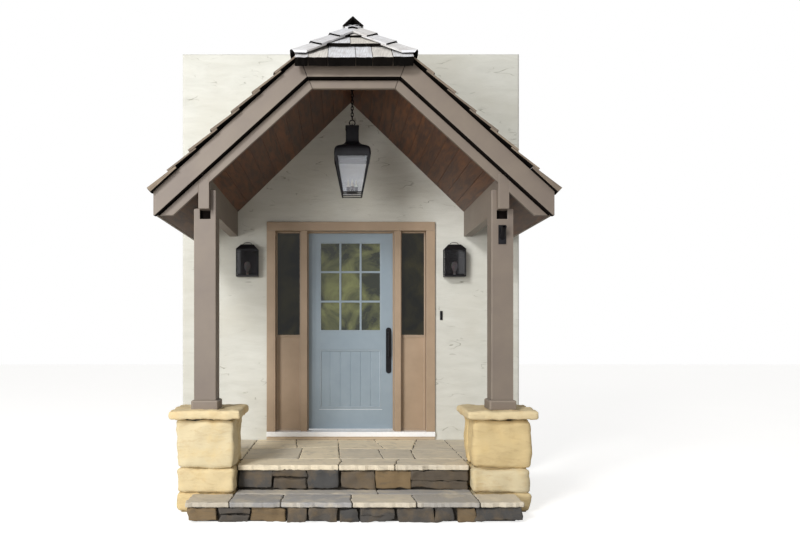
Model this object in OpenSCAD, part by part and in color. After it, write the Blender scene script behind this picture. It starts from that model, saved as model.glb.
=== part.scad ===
// Entrance porch with a clipped-gable shake roof on two timber posts and stone piers,
// a panelled door with two sidelights in a wall section, and two stone steps.
// Millimetres. X runs to the right, Y into the house and Z up from the ground.
// Distances called reach are measured out from the wall's outer face.

/* [Wall section] */
// Half the width of the wall section
wall_half_w = 1800; // [1760:10:2400]
// Height of the wall section above the ground
wall_h = 4500; // [4450:10:5200]
// Thickness of the wall
wall_t = 170; // [150:5:240]

/* [Landing and step] */
// Height of the landing above the ground
landing_h = 376; // [340:2:420]
// Thickness of the landing's flagstones
landing_slab_t = 47; // [35:1:60]
// Reach of the landing's front edge
landing_reach = 1490; // [1420:10:1600]
// Half the width of the landing behind the piers
landing_back_half_w = 1450; // [1300:10:1480]
// Height of the lower step above the ground
step_h = 163; // [140:1:190]
// Thickness of the lower step's flagstones
step_slab_t = 42; // [30:1:60]
// Reach of the lower step's front edge
step_reach = 1950; // [1880:10:2200]
// Half the width of the lower step
step_half_w = 1350; // [1200:10:1450]
// How far the flagstones run past the riser stones
nosing = 22; // [5:1:40]

/* [Piers] */
// Distance from the centreline to the middle of a pier
pier_x = 1245; // [1200:5:1300]
// Width of a pier
pier_w = 490; // [420:5:540]
// Depth of a pier
pier_d = 470; // [420:5:540]
// Reach of a pier's front face
pier_reach = 1640; // [1620:5:1700]
// Height of the pier's stonework
pier_h = 785; // [700:5:860]
// Thickness of the pier's cap stone
pier_cap_t = 76; // [50:1:100]
// Overhang of the cap stone on each side
pier_cap_over = 55; // [20:1:80]
// Chamfer on the edges of the pier and its cap
stone_chamfer = 14; // [5:1:22]
// Width of the square timber plinth below a post
plinth_w = 228; // [210:1:260]
// Height of the plinth
plinth_h = 80; // [50:1:110]
// Chamfer round the top of the plinth
plinth_chamfer = 10; // [4:1:16]

/* [Posts and beams] */
// Distance from the centreline to the middle of a post
post_x = 1258; // [1230:1:1285]
// Width of the square post
post_w = 184; // [170:1:200]
// Reach of the middle of a post
post_reach = 1493; // [1450:1:1500]
// Width of the roof beam
beam_w = 89; // [70:1:95]
// Depth of the roof beam
beam_h = 286; // [240:1:300]
// Height of the beam's underside
beam_z = 2548; // [2500:1:2600]
// Thickness of the post's cheek outside the beam
outer_cheek_t = 51; // [40:1:60]
// Height of the outer cheek above the beam's underside
outer_cheek_rise = 12; // [5:1:60]
// Height of the inner cheek above the beam's underside
inner_cheek_rise = 169; // [60:1:200]
// Height of the saddle block that lifts the beam off the notch
saddle_h = 76; // [30:1:110]
// Set-back of the saddle block from the post's faces
saddle_inset = 45; // [15:1:60]
// Rounding of the cheek's outer top corner
cheek_round = 14; // [4:1:20]

/* [Roof form] */
// Pitch of the two main slopes in degrees
roof_pitch = 42.3; // [41:0.1:43.5]
// Height of the roof boarding at the ridge
ridge_z = 4190; // [4160:5:4300]
// Half the width of the clipped gable's eave
hip_half_w = 485; // [440:5:520]
// Depth of the clipped gable's slope in plan
hip_run = 530; // [500:5:580]
// Reach of the shakes' front edge
roof_reach = 1760; // [1740:5:1800]
// Half the width of the roof over its eave boards
eave_half_w = 1660; // [1640:5:1690]
// Height of the eave board's lower edge
eave_z = 2490; // [2470:2:2510]
// Thickness of the eave board
fascia_t = 20; // [16:1:26]
// Thickness of the soffit boards
soffit_t = 16; // [12:1:22]
// Height of the soffit above the eave board's lower edge
soffit_lift = 8; // [4:1:14]
// Height of the ceiling's ridge line
ceiling_apex_z = 3983; // [3960:1:4000]
// Plumb thickness of the ceiling boards
ceiling_v = 22; // [16:1:30]

/* [Rake and collar boards] */
// Set-back of the outer rake board from the shakes' front edge
rake_set_back = 50; // [35:1:60]
// Thickness of the outer rake board
outer_rake_t = 56; // [40:1:60]
// Plumb depth of the outer rake board
outer_rake_v = 209; // [185:1:225]
// Height of the outer rake's level tail
outer_tail_z = 2481; // [2476:1:2490]
// Height of the outer collar board's lower edge
outer_collar_z = 3628; // [3610:1:3650]
// Thickness of the inner rake board
inner_rake_t = 38; // [25:1:45]
// Plumb depth of the inner rake board
inner_rake_v = 323; // [300:1:340]
// Height of the inner rake's level tail
inner_tail_z = 2492; // [2480:1:2505]
// Height of the inner collar board's lower edge
inner_collar_z = 3551; // [3540:1:3575]

/* [Shakes and caps] */
// Exposed length of one course of shakes
shake_exposure = 235; // [200:5:260]
// Height of the shake layers at a butt
shake_butt = 45; // [36:1:52]
// Height of the shake layers just below the next butt
shake_head = 24; // [16:1:30]
// How far the lowest shakes run past the eave board
eave_lap = 18; // [8:1:30]
// Half the width of a ridge or hip cap along the slope
cap_half_w = 100; // [80:1:120]
// Thickness of a cap
cap_t = 20; // [12:1:26]
// Number of caps on each hip
cap_count = 3; // [2:1:4]

/* [Door frame] */
// Half the width of the rough opening in the wall
opening_half_w = 845; // [835:1:860]
// Width of the frame posts at the jambs
jamb_w = 38; // [30:1:45]
// Width of the mullion between door and sidelight
mullion_w = 68; // [50:1:80]
// Height of the frame's head
head_h = 40; // [30:1:60]
// Width of the casing round the frame
casing_w = 93; // [80:1:110]
// Thickness of the casing
casing_t = 25; // [18:1:32]
// Height of the tan board below the sill
sub_sill_h = 33; // [24:1:40]
// Projection of the tan board
sub_sill_out = 22; // [12:1:26]
// Thickness of the white sill
sill_h = 52; // [40:1:60]
// Projection of the sill past the wall
sill_out = 40; // [30:1:45]
// Width of the door stop
stop_w = 12; // [9:1:16]
// Depth of the door stop
stop_d = 30; // [20:1:40]
// Height of the sidelight's lower panel above the sill
side_panel_h = 1020; // [900:5:1150]
// Thickness of the sidelight's lower panel
side_panel_t = 32; // [24:1:40]
// Set-back of the sidelights from the wall's outer face
side_set_back = 75; // [50:1:90]
// Thickness of the sealed glass units
glass_t = 18; // [12:1:24]

/* [Door] */
// Width of the door leaf
leaf_w = 924; // [900:1:932]
// Height of the door leaf
leaf_h = 2134; // [2100:1:2150]
// Thickness of the door leaf
leaf_t = 45; // [40:1:50]
// Gap round the leaf at the hinges, the head and the stops
leaf_gap = 5; // [5:1:8]
// Gap at the latch edge, wider because that edge swings
latch_gap = 8; // [8:1:12]
// Gap below the leaf
threshold_gap = 10; // [6:1:14]
// Width of the leaf's stiles
stile_w = 130; // [120:1:150]
// Height of the leaf's top rail
top_rail_h = 104; // [90:1:130]
// Height of the leaf's middle rail
mid_rail_h = 204; // [160:1:240]
// Height of the leaf's bottom rail
bottom_rail_h = 229; // [190:1:260]
// Height of the boarded panel
panel_h = 633; // [560:1:700]
// Thickness of the boarded panel
panel_t = 24; // [18:1:30]
// Number of boards in the panel
board_count = 6; // [4:1:8]
// Width of the groove between two boards
groove_w = 6; // [3:1:9]
// Open angle of the door in degrees
door_open = 0; // [0:5:95]

/* [Door fittings] */
// Width of the outer handle plate
plate_w = 58; // [48:1:66]
// Height of the outer handle plate
plate_h = 500; // [420:5:520]
// Thickness of the handle plate
plate_t = 7; // [4:1:9]
// Height of the handle plate's middle above the leaf's lower edge
plate_z = 855; // [800:5:900]
// Distance of the handle plate's middle from the leaf's latch edge
backset = 48; // [44:1:60]
// Length of the pull grip
grip_h = 250; // [180:5:280]
// Radius of the pull grip
grip_r = 9; // [7:0.5:11]
// Clear space behind the pull grip
grip_out = 42; // [36:1:50]
// Radius of the inner knob
knob_r = 27; // [22:1:30]
// Radius of the inner knob's stem
knob_stem_r = 9; // [7:0.5:11]
// Projection of the inner knob from the leaf
knob_out = 62; // [50:1:70]
// Height of the lock above the grip
lock_lift = 35; // [32:1:40]
// Radius of the lock
lock_r = 19; // [14:0.5:21]
// Projection of the lock from the middle of the plate
lock_out = 7; // [5:1:10]
// Height of a hinge
hinge_h = 100; // [80:5:120]
// Radius of a hinge knuckle
knuckle_r = 8; // [7:0.5:9]
// Radius of the hinge pin
pin_r = 3; // [2.5:0.5:4]
// Running clearance round the hinge pin
pin_gap = 0.3; // [0.2:0.05:0.5]
// Length of a hinge leaf across the door's thickness
hinge_leaf_l = 34; // [25:1:38]
// Distance of the outer hinges from the leaf's ends
hinge_end = 180; // [150:5:260]

/* [Lantern] */
// Reach of the hanging lantern
lantern_reach = 850; // [700:10:950]
// Height of the lantern's base
lantern_z = 2813; // [2750:1:2850]
// Width of the lantern's base
lantern_base_w = 193; // [160:1:220]
// Width of the lantern at its shoulders
lantern_w = 342; // [300:1:360]
// Height of the glazed cage
cage_h = 395; // [350:1:420]
// Height of the roof between the shoulders and the neck
lantern_roof_h = 175; // [150:1:200]
// Height of the upright band below the lantern's roof
lantern_band_h = 78; // [50:1:95]
// How much wider the band is at its top on each side
lantern_band_flare = 5; // [0:1:10]
// Rounding of the lantern's shoulders
lantern_shoulder_r = 26; // [12:1:40]
// Width of the lantern's neck
neck_w = 110; // [90:1:124]
// Height of the neck
neck_h = 92; // [70:1:110]
// Projection of the lip round the neck
neck_lip = 7; // [3:1:10]
// Height of the lip round the neck
neck_lip_h = 12; // [6:1:18]
// Slope of the neck's top on each side
neck_slope_w = 15; // [6:1:20]
// Height of the cage's solid base
cage_base_h = 20; // [14:1:30]
// Projection of the cage's base past its lower edge
cage_base_out = 4; // [2:1:8]
// Width of the cage's corner bars
cage_bar_w = 13; // [9:1:16]
// Thickness of the lantern's glass
lantern_glass_t = 4; // [3:0.5:6]
// Number of candles in the lantern
candle_count = 4; // [2:1:6]
// Distance from the lantern's middle to a candle
candle_ring_r = 38; // [30:1:44]
// Height of a candle
candle_h = 88; // [60:1:110]
// Height of a candle's flame-shaped tip
candle_tip_h = 44; // [30:1:50]
// Radius of the foot of a candle's tip
candle_tip_base_r = 8; // [5:0.5:9]
// Radius of the end of a candle's tip
candle_tip_r = 3; // [2:0.5:4]
// Radius of a candle
candle_r = 11; // [9:0.5:14]
// Outer length of a chain link
link_l = 40; // [34:1:48]
// Outer width of a chain link
link_w = 24; // [22:1:30]
// Diameter of the chain wire
link_d = 5; // [4:0.5:6]
// Radius of the lantern's top ring
ring_r = 27; // [22:1:32]
// Radius of the stem below the canopy
canopy_stem_r = 7.5; // [5:0.5:10]
// Radius of the canopy at the ceiling
canopy_r = 58; // [45:1:70]
// Height of the canopy below the ceiling's ridge line
canopy_h = 92; // [75:1:110]

/* [Wall lights and bell] */
// Distance from the centreline to a wall light
sconce_x = 1100; // [1080:1:1120]
// Height of a wall light's base
sconce_z = 2124; // [2050:1:2150]
// Width of a wall light
sconce_w = 225; // [200:1:234]
// Height of a wall light
sconce_h = 348; // [320:1:370]
// Projection of a wall light
sconce_d = 130; // [100:1:150]
// Width of the flat top of a wall light
sconce_top_w = 92; // [70:1:120]
// Height of the sloping part of a wall light
sconce_roof_h = 58; // [40:1:80]
// Width of a wall light's corner bars
sconce_bar_w = 15; // [10:1:20]
// Radius of the bulb
bulb_r = 24; // [18:1:30]
// Radius of the lamp holder below the bulb
holder_r = 14; // [10:1:18]
// Height of the lamp holder
holder_h = 60; // [40:1:70]
// Height of the bulb's flare
bulb_flare_h = 30; // [20:1:40]
// Height of the bulb between its flare and its round top
bulb_h = 50; // [30:1:60]
// Distance from the centreline to the bell push
bell_x = 968; // [950:1:985]
// Height of the bell push's middle
bell_z = 1703; // [1500:1:1750]
// Width of the bell push
bell_w = 27; // [22:1:34]
// Height of the bell push
bell_h = 97; // [80:1:110]
// Thickness of the bell push's plate
bell_plate_t = 10; // [6:1:14]
// Projection of the bell push's button past its plate
bell_button_out = 4; // [2:1:6]
// Radius of the bell push's button
bell_button_r = 9; // [6:1:11]

/* [Pole bracket] */
// Width of the pole bracket's plate
bracket_w = 64; // [56:1:70]
// Height of the pole bracket's plate
bracket_h = 160; // [140:1:180]
// Thickness of the pole bracket's plate
bracket_t = 7; // [5:1:9]
// Height of the pole bracket's lower edge
bracket_z = 2260; // [2200:1:2280]
// Height of the pole socket's root above the plate's lower edge
socket_lift = 72; // [60:1:90]
// Bore of the pole socket
socket_bore_r = 13; // [12.7:0.1:14]
// Wall of the pole socket
socket_wall = 6; // [4:0.5:8]
// Depth of the pole socket's bore
socket_depth = 90; // [70:1:110]
// Rise of the pole socket in degrees
socket_rise = 45; // [35:1:50]

/* [Hidden] */

// Facets of a round
round_fn = 48;
// A length past every face that a cutter goes through
over = 400;
// Clearance between pieces that rest on each other
seat_gap = 0.3;

// The origin stands under the middle of the whole, so the wall's face lies behind it
back_reach = wall_t + knob_out;
total_depth = step_reach + back_reach;
wall_y = step_reach - total_depth / 2;

// Levels of the doorway
sub_sill_z = landing_h;
sill_z = sub_sill_z + sub_sill_h;
sill_top = sill_z + sill_h;
leaf_z = sill_top + threshold_gap;
head_z = leaf_z + leaf_h + leaf_gap;
opening_top = head_z + head_h;

// Widths of the doorway
door_half_w = (leaf_w + leaf_gap + latch_gap) / 2;
leaf_x = -door_half_w + leaf_gap;
mullion_out = door_half_w + mullion_w;
jamb_in = opening_half_w - jamb_w;
leaf_front = wall_t - leaf_t;
hinge_x = -door_half_w + leaf_gap / 2;
hinge_y = wall_t + knuckle_r;
hinge_leaf_t = leaf_gap / 2 - 0.5;
light_z = leaf_z + bottom_rail_h + panel_h + mid_rail_h;
light_h = leaf_z + leaf_h - top_rail_h - light_z;
handle_x = leaf_x + leaf_w - backset;
handle_z = leaf_z + plate_z;

// Piers, plinths and posts
pier_in = pier_x - pier_w / 2;
cap_z = pier_h + pier_cap_t;
post_z = cap_z + plinth_h;
post_in = post_x - post_w / 2;
post_out = post_x + post_w / 2;
beam_out = post_out - outer_cheek_t;
beam_in = beam_out - beam_w;
beam_top = beam_z + beam_h;
notch_z = beam_z - saddle_h;

// Roof lines
slope = tan(roof_pitch);
fascia_in = eave_half_w - fascia_t;
hip_peak = roof_reach - hip_run;
hip_slope = hip_half_w * slope / hip_run;
hip_pitch = atan(hip_slope);
outer_rake_reach = roof_reach - rake_set_back;
inner_rake_reach = outer_rake_reach - outer_rake_t;
frame_reach = inner_rake_reach - inner_rake_t;
ceiling_slope = (ceiling_apex_z + ceiling_v - beam_top) / beam_in;
low_z = landing_h;
roof_top = ridge_z + over;
shake_x = eave_half_w + eave_lap;
function deck_z(x) = ridge_z - x * slope;
function hip_deck_z(reach) = ridge_z - (reach - hip_peak) * hip_slope;
function hip_x(reach) = (reach - hip_peak) * hip_half_w / hip_run;
function ceiling_z(x) = ceiling_apex_z - x * ceiling_slope;
function hip_ceiling_z(reach) = hip_deck_z(reach) - ridge_z + ceiling_apex_z;
function ceiling_hip_x(reach) = (reach - hip_peak) * hip_slope / ceiling_slope;
function soffit_z(x) = eave_z + soffit_lift + (fascia_in - x) * slope;

// Puts its children behind the origin, with the wall's outer face at wall_y
module at_wall() {
    translate([0, wall_y, 0]) children();
}

// A box between two heights and two reaches
module slab(x0, x1, reach0, reach1, z0, z1) {
    translate([x0, -reach1, z0]) cube([x1 - x0, reach1 - reach0, z1 - z0]);
}

// An outline in X and Z, drawn out from one reach to another
module along_reach(reach0, reach1) {
    translate([0, -reach0, 0]) rotate([90, 0, 0]) linear_extrude(reach1 - reach0) children();
}

// An outline in reach and Z, drawn out over a half width to both sides
module along_x(half_w) {
    translate([-half_w, 0, 0]) rotate([90, 0, -90]) mirror([0, 0, 1]) linear_extrude(2 * half_w) children();
}

// An outline in X and reach, drawn up between two heights
module along_z(z0, z1) {
    translate([0, 0, z0]) mirror([0, 1, 0]) linear_extrude(z1 - z0) children();
}

// Copies its children to the left and to the right
module both_sides() {
    children();
    mirror([1, 0, 0]) children();
}

// A block with its upright edges and its top edges chamfered
module eased_block(w, d, h, c) {
    intersection() {
        linear_extrude(h) polygon(eased_outline(w, d, c));
        rotate([90, 0, 0]) linear_extrude(2 * d, center = true) polygon(eased_top(w, h, c));
        rotate([90, 0, 90]) linear_extrude(2 * w, center = true) polygon(eased_top(d, h, c));
    }
}
function eased_outline(w, d, c) = [
    [-w / 2 + c, -d / 2], [w / 2 - c, -d / 2], [w / 2, -d / 2 + c], [w / 2, d / 2 - c],
    [w / 2 - c, d / 2], [-w / 2 + c, d / 2], [-w / 2, d / 2 - c], [-w / 2, -d / 2 + c]
];
function eased_top(w, h, c) = [
    [-w / 2, 0], [w / 2, 0], [w / 2, h - c], [w / 2 - c, h], [-w / 2 + c, h], [-w / 2, h - c]
];

// Wall section, split beside, over and below the doorway
module left_wall() {
    color("ivory") at_wall() slab(-wall_half_w, -opening_half_w, -wall_t, 0, 0, wall_h);
}
module right_wall() {
    color("ivory") at_wall() slab(opening_half_w, wall_half_w, -wall_t, 0, 0, wall_h);
}
module wall_over_door() {
    color("ivory") at_wall() slab(-opening_half_w, opening_half_w, -wall_t, 0, opening_top, wall_h);
}
module wall_below_door() {
    color("ivory") at_wall() slab(-opening_half_w, opening_half_w, -wall_t, 0, 0, sill_z);
}

// Landing, narrow between the piers and wide behind them
module landing_outline(front, back_half_w) {
    polygon([
        [-pier_in, front], [pier_in, front], [pier_in, pier_reach - pier_d],
        [back_half_w, pier_reach - pier_d], [back_half_w, 0], [-back_half_w, 0],
        [-back_half_w, pier_reach - pier_d], [-pier_in, pier_reach - pier_d]
    ]);
}
module landing_base() {
    color("tan") at_wall() along_z(0, landing_h - landing_slab_t)
        landing_outline(landing_reach - nosing, landing_back_half_w - nosing);
}
module landing_slabs() {
    color("slategray") at_wall() along_z(landing_h - landing_slab_t, landing_h)
        landing_outline(landing_reach, landing_back_half_w);
}

// Lower step, in front of the piers and up to the landing's riser between them
module step_outline(front, half_w, back) {
    polygon([
        [-half_w, front], [half_w, front], [half_w, pier_reach], [pier_in, pier_reach],
        [pier_in, back], [-pier_in, back], [-pier_in, pier_reach], [-half_w, pier_reach]
    ]);
}
module lower_step_base() {
    color("tan") at_wall() along_z(0, step_h - step_slab_t)
        step_outline(step_reach - nosing, step_half_w - nosing, landing_reach - nosing);
}
module lower_step_slabs() {
    color("slategray") at_wall() along_z(step_h - step_slab_t, step_h)
        step_outline(step_reach, step_half_w, landing_reach - nosing);
}

// Stone piers with their caps, and the timber plinths that the posts stand on
module pier() {
    translate([pier_x, -pier_reach + pier_d / 2, 0]) eased_block(pier_w, pier_d, pier_h, stone_chamfer);
}
module left_pier() {
    color("burlywood") at_wall() mirror([1, 0, 0]) pier();
}
module right_pier() {
    color("burlywood") at_wall() pier();
}
module pier_caps() {
    color("antiquewhite") at_wall() both_sides()
        translate([pier_x, -pier_reach + pier_d / 2, pier_h])
            eased_block(pier_w + 2 * pier_cap_over, pier_d + 2 * pier_cap_over, pier_cap_t, stone_chamfer);
}
module post_plinths() {
    color("rosybrown") at_wall() both_sides()
        translate([post_x, -post_reach, cap_z]) eased_block(plinth_w, plinth_w, plinth_h, plinth_chamfer);
}

// Post with a saddle for the beam: a tall inner cheek, a low rounded outer cheek
// and a saddle block set back between them
module post() {
    outer_z = beam_z + outer_cheek_rise;
    inner_z = beam_z + inner_cheek_rise;
    along_reach(post_reach - post_w / 2, post_reach + post_w / 2) {
        polygon([
            [post_in, post_z], [post_out, post_z],
            for (a = [0:15:90]) [
                post_out - cheek_round + cheek_round * cos(a),
                outer_z - cheek_round + cheek_round * sin(a)
            ],
            [beam_out, outer_z], [beam_out, notch_z], [beam_in, notch_z],
            [beam_in, inner_z], [post_in, inner_z]
        ]);
    }
    saddle_half_d = post_w / 2 - saddle_inset;
    slab(beam_in, beam_out, post_reach - saddle_half_d, post_reach + saddle_half_d, notch_z, beam_z);
}
module left_post() {
    color("rosybrown") at_wall() mirror([1, 0, 0]) post();
}
module right_post() {
    color("rosybrown") at_wall() post();
}
module roof_beams() {
    color("rosybrown") at_wall() both_sides()
        slab(beam_in, beam_out, 0, inner_rake_reach, beam_z, beam_top);
}

// Roof structure: each main slope is the space between boarding, ceiling and soffit
module side_plan(half_w, front) {
    polygon([[0, 0], [0, hip_peak], [hip_x(front), front], [half_w, front], [half_w, 0]]);
}
module hip_plan(front) {
    polygon([[0, hip_peak], [hip_x(front), front], [-hip_x(front), front]]);
}
module side_frame() {
    soffit_v = soffit_t / cos(roof_pitch);
    intersection() {
        along_reach(0, frame_reach) polygon([
            [0, ridge_z], [fascia_in, deck_z(fascia_in)], [fascia_in, soffit_z(fascia_in) + soffit_v],
            [beam_out, soffit_z(beam_out) + soffit_v], [beam_out, beam_top], [beam_in, beam_top],
            [0, ceiling_apex_z + ceiling_v]
        ]);
        along_z(low_z, roof_top) side_plan(fascia_in, frame_reach);
    }
}
module left_roof_frame() {
    color("peru") at_wall() mirror([1, 0, 0]) side_frame();
}
module right_roof_frame() {
    color("peru") at_wall() side_frame();
}
// The room below the ceiling's upper faces
module ceiling_void(lift) {
    intersection() {
        along_reach(0, frame_reach) polygon([
            [-beam_in, low_z], [-beam_in, ceiling_z(beam_in) + lift], [0, ceiling_apex_z + lift],
            [beam_in, ceiling_z(beam_in) + lift], [beam_in, low_z]
        ]);
        along_x(beam_in) polygon([
            [0, low_z], [0, ceiling_apex_z + lift], [hip_peak, ceiling_apex_z + lift],
            [frame_reach, hip_ceiling_z(frame_reach) + lift], [frame_reach, low_z]
        ]);
    }
}
module hip_frame() {
    color("peru") at_wall() difference() {
        intersection() {
            along_z(low_z, roof_top) hip_plan(frame_reach);
            along_x(hip_half_w) polygon([
                [hip_peak, low_z], [hip_peak, ridge_z], [frame_reach, hip_deck_z(frame_reach)], [frame_reach, low_z]
            ]);
        }
        ceiling_void(ceiling_v);
    }
}

// Ceiling boards on the two slopes and under the clipped gable
module side_ceiling() {
    intersection() {
        along_reach(0, frame_reach) polygon([
            [0, ceiling_apex_z], [beam_in, ceiling_z(beam_in)], [beam_in, beam_top], [0, ceiling_apex_z + ceiling_v]
        ]);
        along_z(low_z, roof_top) polygon([
            [0, 0], [0, hip_peak], [ceiling_hip_x(frame_reach), frame_reach], [beam_in, frame_reach], [beam_in, 0]
        ]);
    }
}
module left_ceiling() {
    color("saddlebrown") at_wall() mirror([1, 0, 0]) side_ceiling();
}
module right_ceiling() {
    color("saddlebrown") at_wall() side_ceiling();
}
module hip_ceiling() {
    front_x = ceiling_hip_x(frame_reach);
    color("saddlebrown") at_wall() intersection() {
        along_x(hip_half_w) polygon([
            [hip_peak, ceiling_apex_z], [frame_reach, hip_ceiling_z(frame_reach)],
            [frame_reach, hip_ceiling_z(frame_reach) + ceiling_v], [hip_peak, ceiling_apex_z + ceiling_v]
        ]);
        along_z(low_z, roof_top) polygon([[0, hip_peak], [front_x, frame_reach], [-front_x, frame_reach]]);
    }
}

// Boards below and along the eaves
module eave_soffits() {
    soffit_v = soffit_t / cos(roof_pitch);
    color("saddlebrown") at_wall() both_sides() along_reach(0, frame_reach) polygon([
        [beam_out, soffit_z(beam_out)], [fascia_in, soffit_z(fascia_in)],
        [fascia_in, soffit_z(fascia_in) + soffit_v], [beam_out, soffit_z(beam_out) + soffit_v]
    ]);
}
module eave_boards() {
    color("rosybrown") at_wall() both_sides() along_reach(0, inner_rake_reach) polygon([
        [fascia_in, eave_z], [eave_half_w, eave_z], [eave_half_w, deck_z(eave_half_w) - seat_gap],
        [fascia_in, deck_z(fascia_in) - seat_gap]
    ]);
}

// Front boards in two tiers: rakes with level tails, mitred to a level collar board
module gable_boards(half_w, reach, depth_v, tail_z, collar_z, t) {
    top_z = hip_deck_z(reach) - seat_gap;
    side_z = deck_z(half_w) - seat_gap;
    tail_x = (ridge_z - depth_v - tail_z) / slope;
    collar_x = (ridge_z - depth_v - collar_z) / slope;
    along_reach(reach - t, reach) polygon([
        [-half_w, tail_z], [-half_w, side_z], [-hip_x(reach), top_z], [hip_x(reach), top_z],
        [half_w, side_z], [half_w, tail_z], [tail_x, tail_z], [collar_x, collar_z],
        [-collar_x, collar_z], [-tail_x, tail_z]
    ]);
}
// The part of the gable boards between the two mitres
module mitre_wedge(reach, depth_v, collar_z) {
    collar_x = (ridge_z - depth_v - collar_z) / slope;
    spread = over * tan(roof_pitch / 2);
    along_reach(0, reach + over) polygon([
        [-collar_x, collar_z], [collar_x, collar_z], [collar_x + spread, collar_z + over],
        [-collar_x - spread, collar_z + over]
    ]);
}
module outer_boards() {
    gable_boards(eave_half_w, outer_rake_reach, outer_rake_v, outer_tail_z, outer_collar_z, outer_rake_t);
}
module inner_boards() {
    gable_boards(fascia_in, inner_rake_reach, inner_rake_v, inner_tail_z, inner_collar_z, inner_rake_t);
}
module outer_rakes() {
    color("rosybrown") at_wall() difference() {
        outer_boards();
        mitre_wedge(outer_rake_reach, outer_rake_v, outer_collar_z);
    }
}
module outer_collar_board() {
    color("rosybrown") at_wall() intersection() {
        outer_boards();
        mitre_wedge(outer_rake_reach, outer_rake_v, outer_collar_z);
    }
}
module inner_rakes() {
    color("rosybrown") at_wall() difference() {
        inner_boards();
        mitre_wedge(inner_rake_reach, inner_rake_v, inner_collar_z);
        beam_ends();
    }
}
module beam_ends() {
    both_sides() slab(beam_in, beam_out, 0, inner_rake_reach + over, beam_z, beam_top);
}
module inner_collar_board() {
    color("rosybrown") at_wall() intersection() {
        inner_boards();
        mitre_wedge(inner_rake_reach, inner_rake_v, inner_collar_z);
    }
}

// Shakes: each course rises from the head of the one below to a thick butt.
// The outline runs up the slope from the eave, as length along it and height above it.
function course_tops(length) = [
    for (i = [0 : ceil(length / shake_exposure) - 1], end = [0, 1])
        end == 0 ? [i * shake_exposure, shake_butt]
        : [min((i + 1) * shake_exposure, length), shake_head]
];
function on_slope(p, pitch, eave) = [
    eave[0] - p[0] * cos(pitch) + p[1] * sin(pitch),
    eave[1] + p[0] * sin(pitch) + p[1] * cos(pitch)
];
function shake_outline(eave, top, pitch) = let(
    length = (eave[0] - top[0]) / cos(pitch),
    steps = [for (p = course_tops(length)) if (p[0] < length) on_slope(p, pitch, eave)]
) concat([eave], steps, [[top[0], top[1] + shake_head / cos(pitch)], top]);

module side_shakes() {
    intersection() {
        along_reach(0, roof_reach)
            polygon(shake_outline([shake_x, deck_z(shake_x)], [0, ridge_z], roof_pitch));
        along_z(low_z, roof_top) side_plan(shake_x + shake_butt, roof_reach);
    }
}
module left_roof_shakes() {
    color("silver") at_wall() mirror([1, 0, 0]) side_shakes();
}
module right_roof_shakes() {
    color("silver") at_wall() side_shakes();
}
module front_shakes() {
    eave = roof_reach - shake_butt * sin(hip_pitch);
    intersection() {
        along_x(hip_half_w)
            polygon(shake_outline([eave, hip_deck_z(eave)], [hip_peak, ridge_z], hip_pitch));
        along_z(low_z, roof_top) hip_plan(roof_reach);
    }
}
module hip_shakes() {
    color("silver") at_wall() front_shakes();
}

// The space below both slopes and the clipped gable, lifted plumb
module under_roof(lift) {
    intersection() {
        along_reach(0, roof_reach) polygon([
            [-eave_half_w, low_z], [-eave_half_w, deck_z(eave_half_w) + lift], [0, ridge_z + lift],
            [eave_half_w, deck_z(eave_half_w) + lift], [eave_half_w, low_z]
        ]);
        along_x(eave_half_w) polygon([
            [0, low_z], [0, ridge_z + lift], [hip_peak, ridge_z + lift],
            [roof_reach, hip_deck_z(roof_reach) + lift], [roof_reach, low_z]
        ]);
    }
}
module all_shakes() {
    both_sides() side_shakes();
    front_shakes();
}

// Caps: bands over the hips and the ridge. The ridge cap beds on the shakes, and the hip caps
// rest on the butts of the courses.
cap_lift = (shake_butt + cap_t) / cos(roof_pitch);
cap_band = cap_half_w * cos(roof_pitch);
module ridge_band() {
    slab(-cap_band, cap_band, 0, hip_peak + cap_band / 2, low_z, roof_top);
}
module ridge_cap() {
    color("darkgray") at_wall() difference() {
        intersection() {
            under_roof(cap_lift);
            ridge_band();
        }
        all_shakes();
        under_roof(shake_head / cos(roof_pitch));
    }
}
module hip_cap_bands() {
    hip_turn = atan(hip_half_w / hip_run);
    hip_length = norm([hip_half_w, hip_run]);
    for (i = [0 : cap_count - 1]) {
        step = hip_length / cap_count;
        intersection() {
            under_roof(cap_lift - i * cap_t / 4);
            both_sides() translate([0, -hip_peak, low_z]) rotate([0, 0, hip_turn - 90])
                translate([step * i, -cap_band, 0]) cube([step, 2 * cap_band, roof_top]);
        }
    }
}
module hip_caps() {
    color("darkgray") at_wall() difference() {
        hip_cap_bands();
        ridge_band();
        under_roof(shake_butt / cos(roof_pitch));
    }
}

// Door frame: casing, posts, head, stops and sill
module casing_legs() {
    color("dimgray") at_wall() both_sides()
        slab(jamb_in, jamb_in + casing_w, 0, casing_t, sill_top, head_z);
}
module casing_head() {
    half_w = jamb_in + casing_w;
    color("dimgray") at_wall() slab(-half_w, half_w, 0, casing_t, head_z, head_z + casing_w);
}
module frame_posts() {
    color("dimgray") at_wall() both_sides() {
        slab(door_half_w, mullion_out, -wall_t, 0, sill_top, head_z);
        slab(jamb_in, opening_half_w, -wall_t, 0, sill_top, head_z);
    }
}
module frame_head() {
    color("dimgray") at_wall() slab(-opening_half_w, opening_half_w, -wall_t, 0, head_z, opening_top);
}
module door_stops() {
    stop_back = leaf_front - leaf_gap;
    stop_half_w = door_half_w - stop_w;
    color("dimgray") at_wall() difference() {
        slab(-door_half_w, door_half_w, -stop_back, stop_d - stop_back, sill_top, head_z);
        slab(-stop_half_w, stop_half_w, -wall_t, over, sill_top - over, head_z - stop_w);
    }
}
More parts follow.
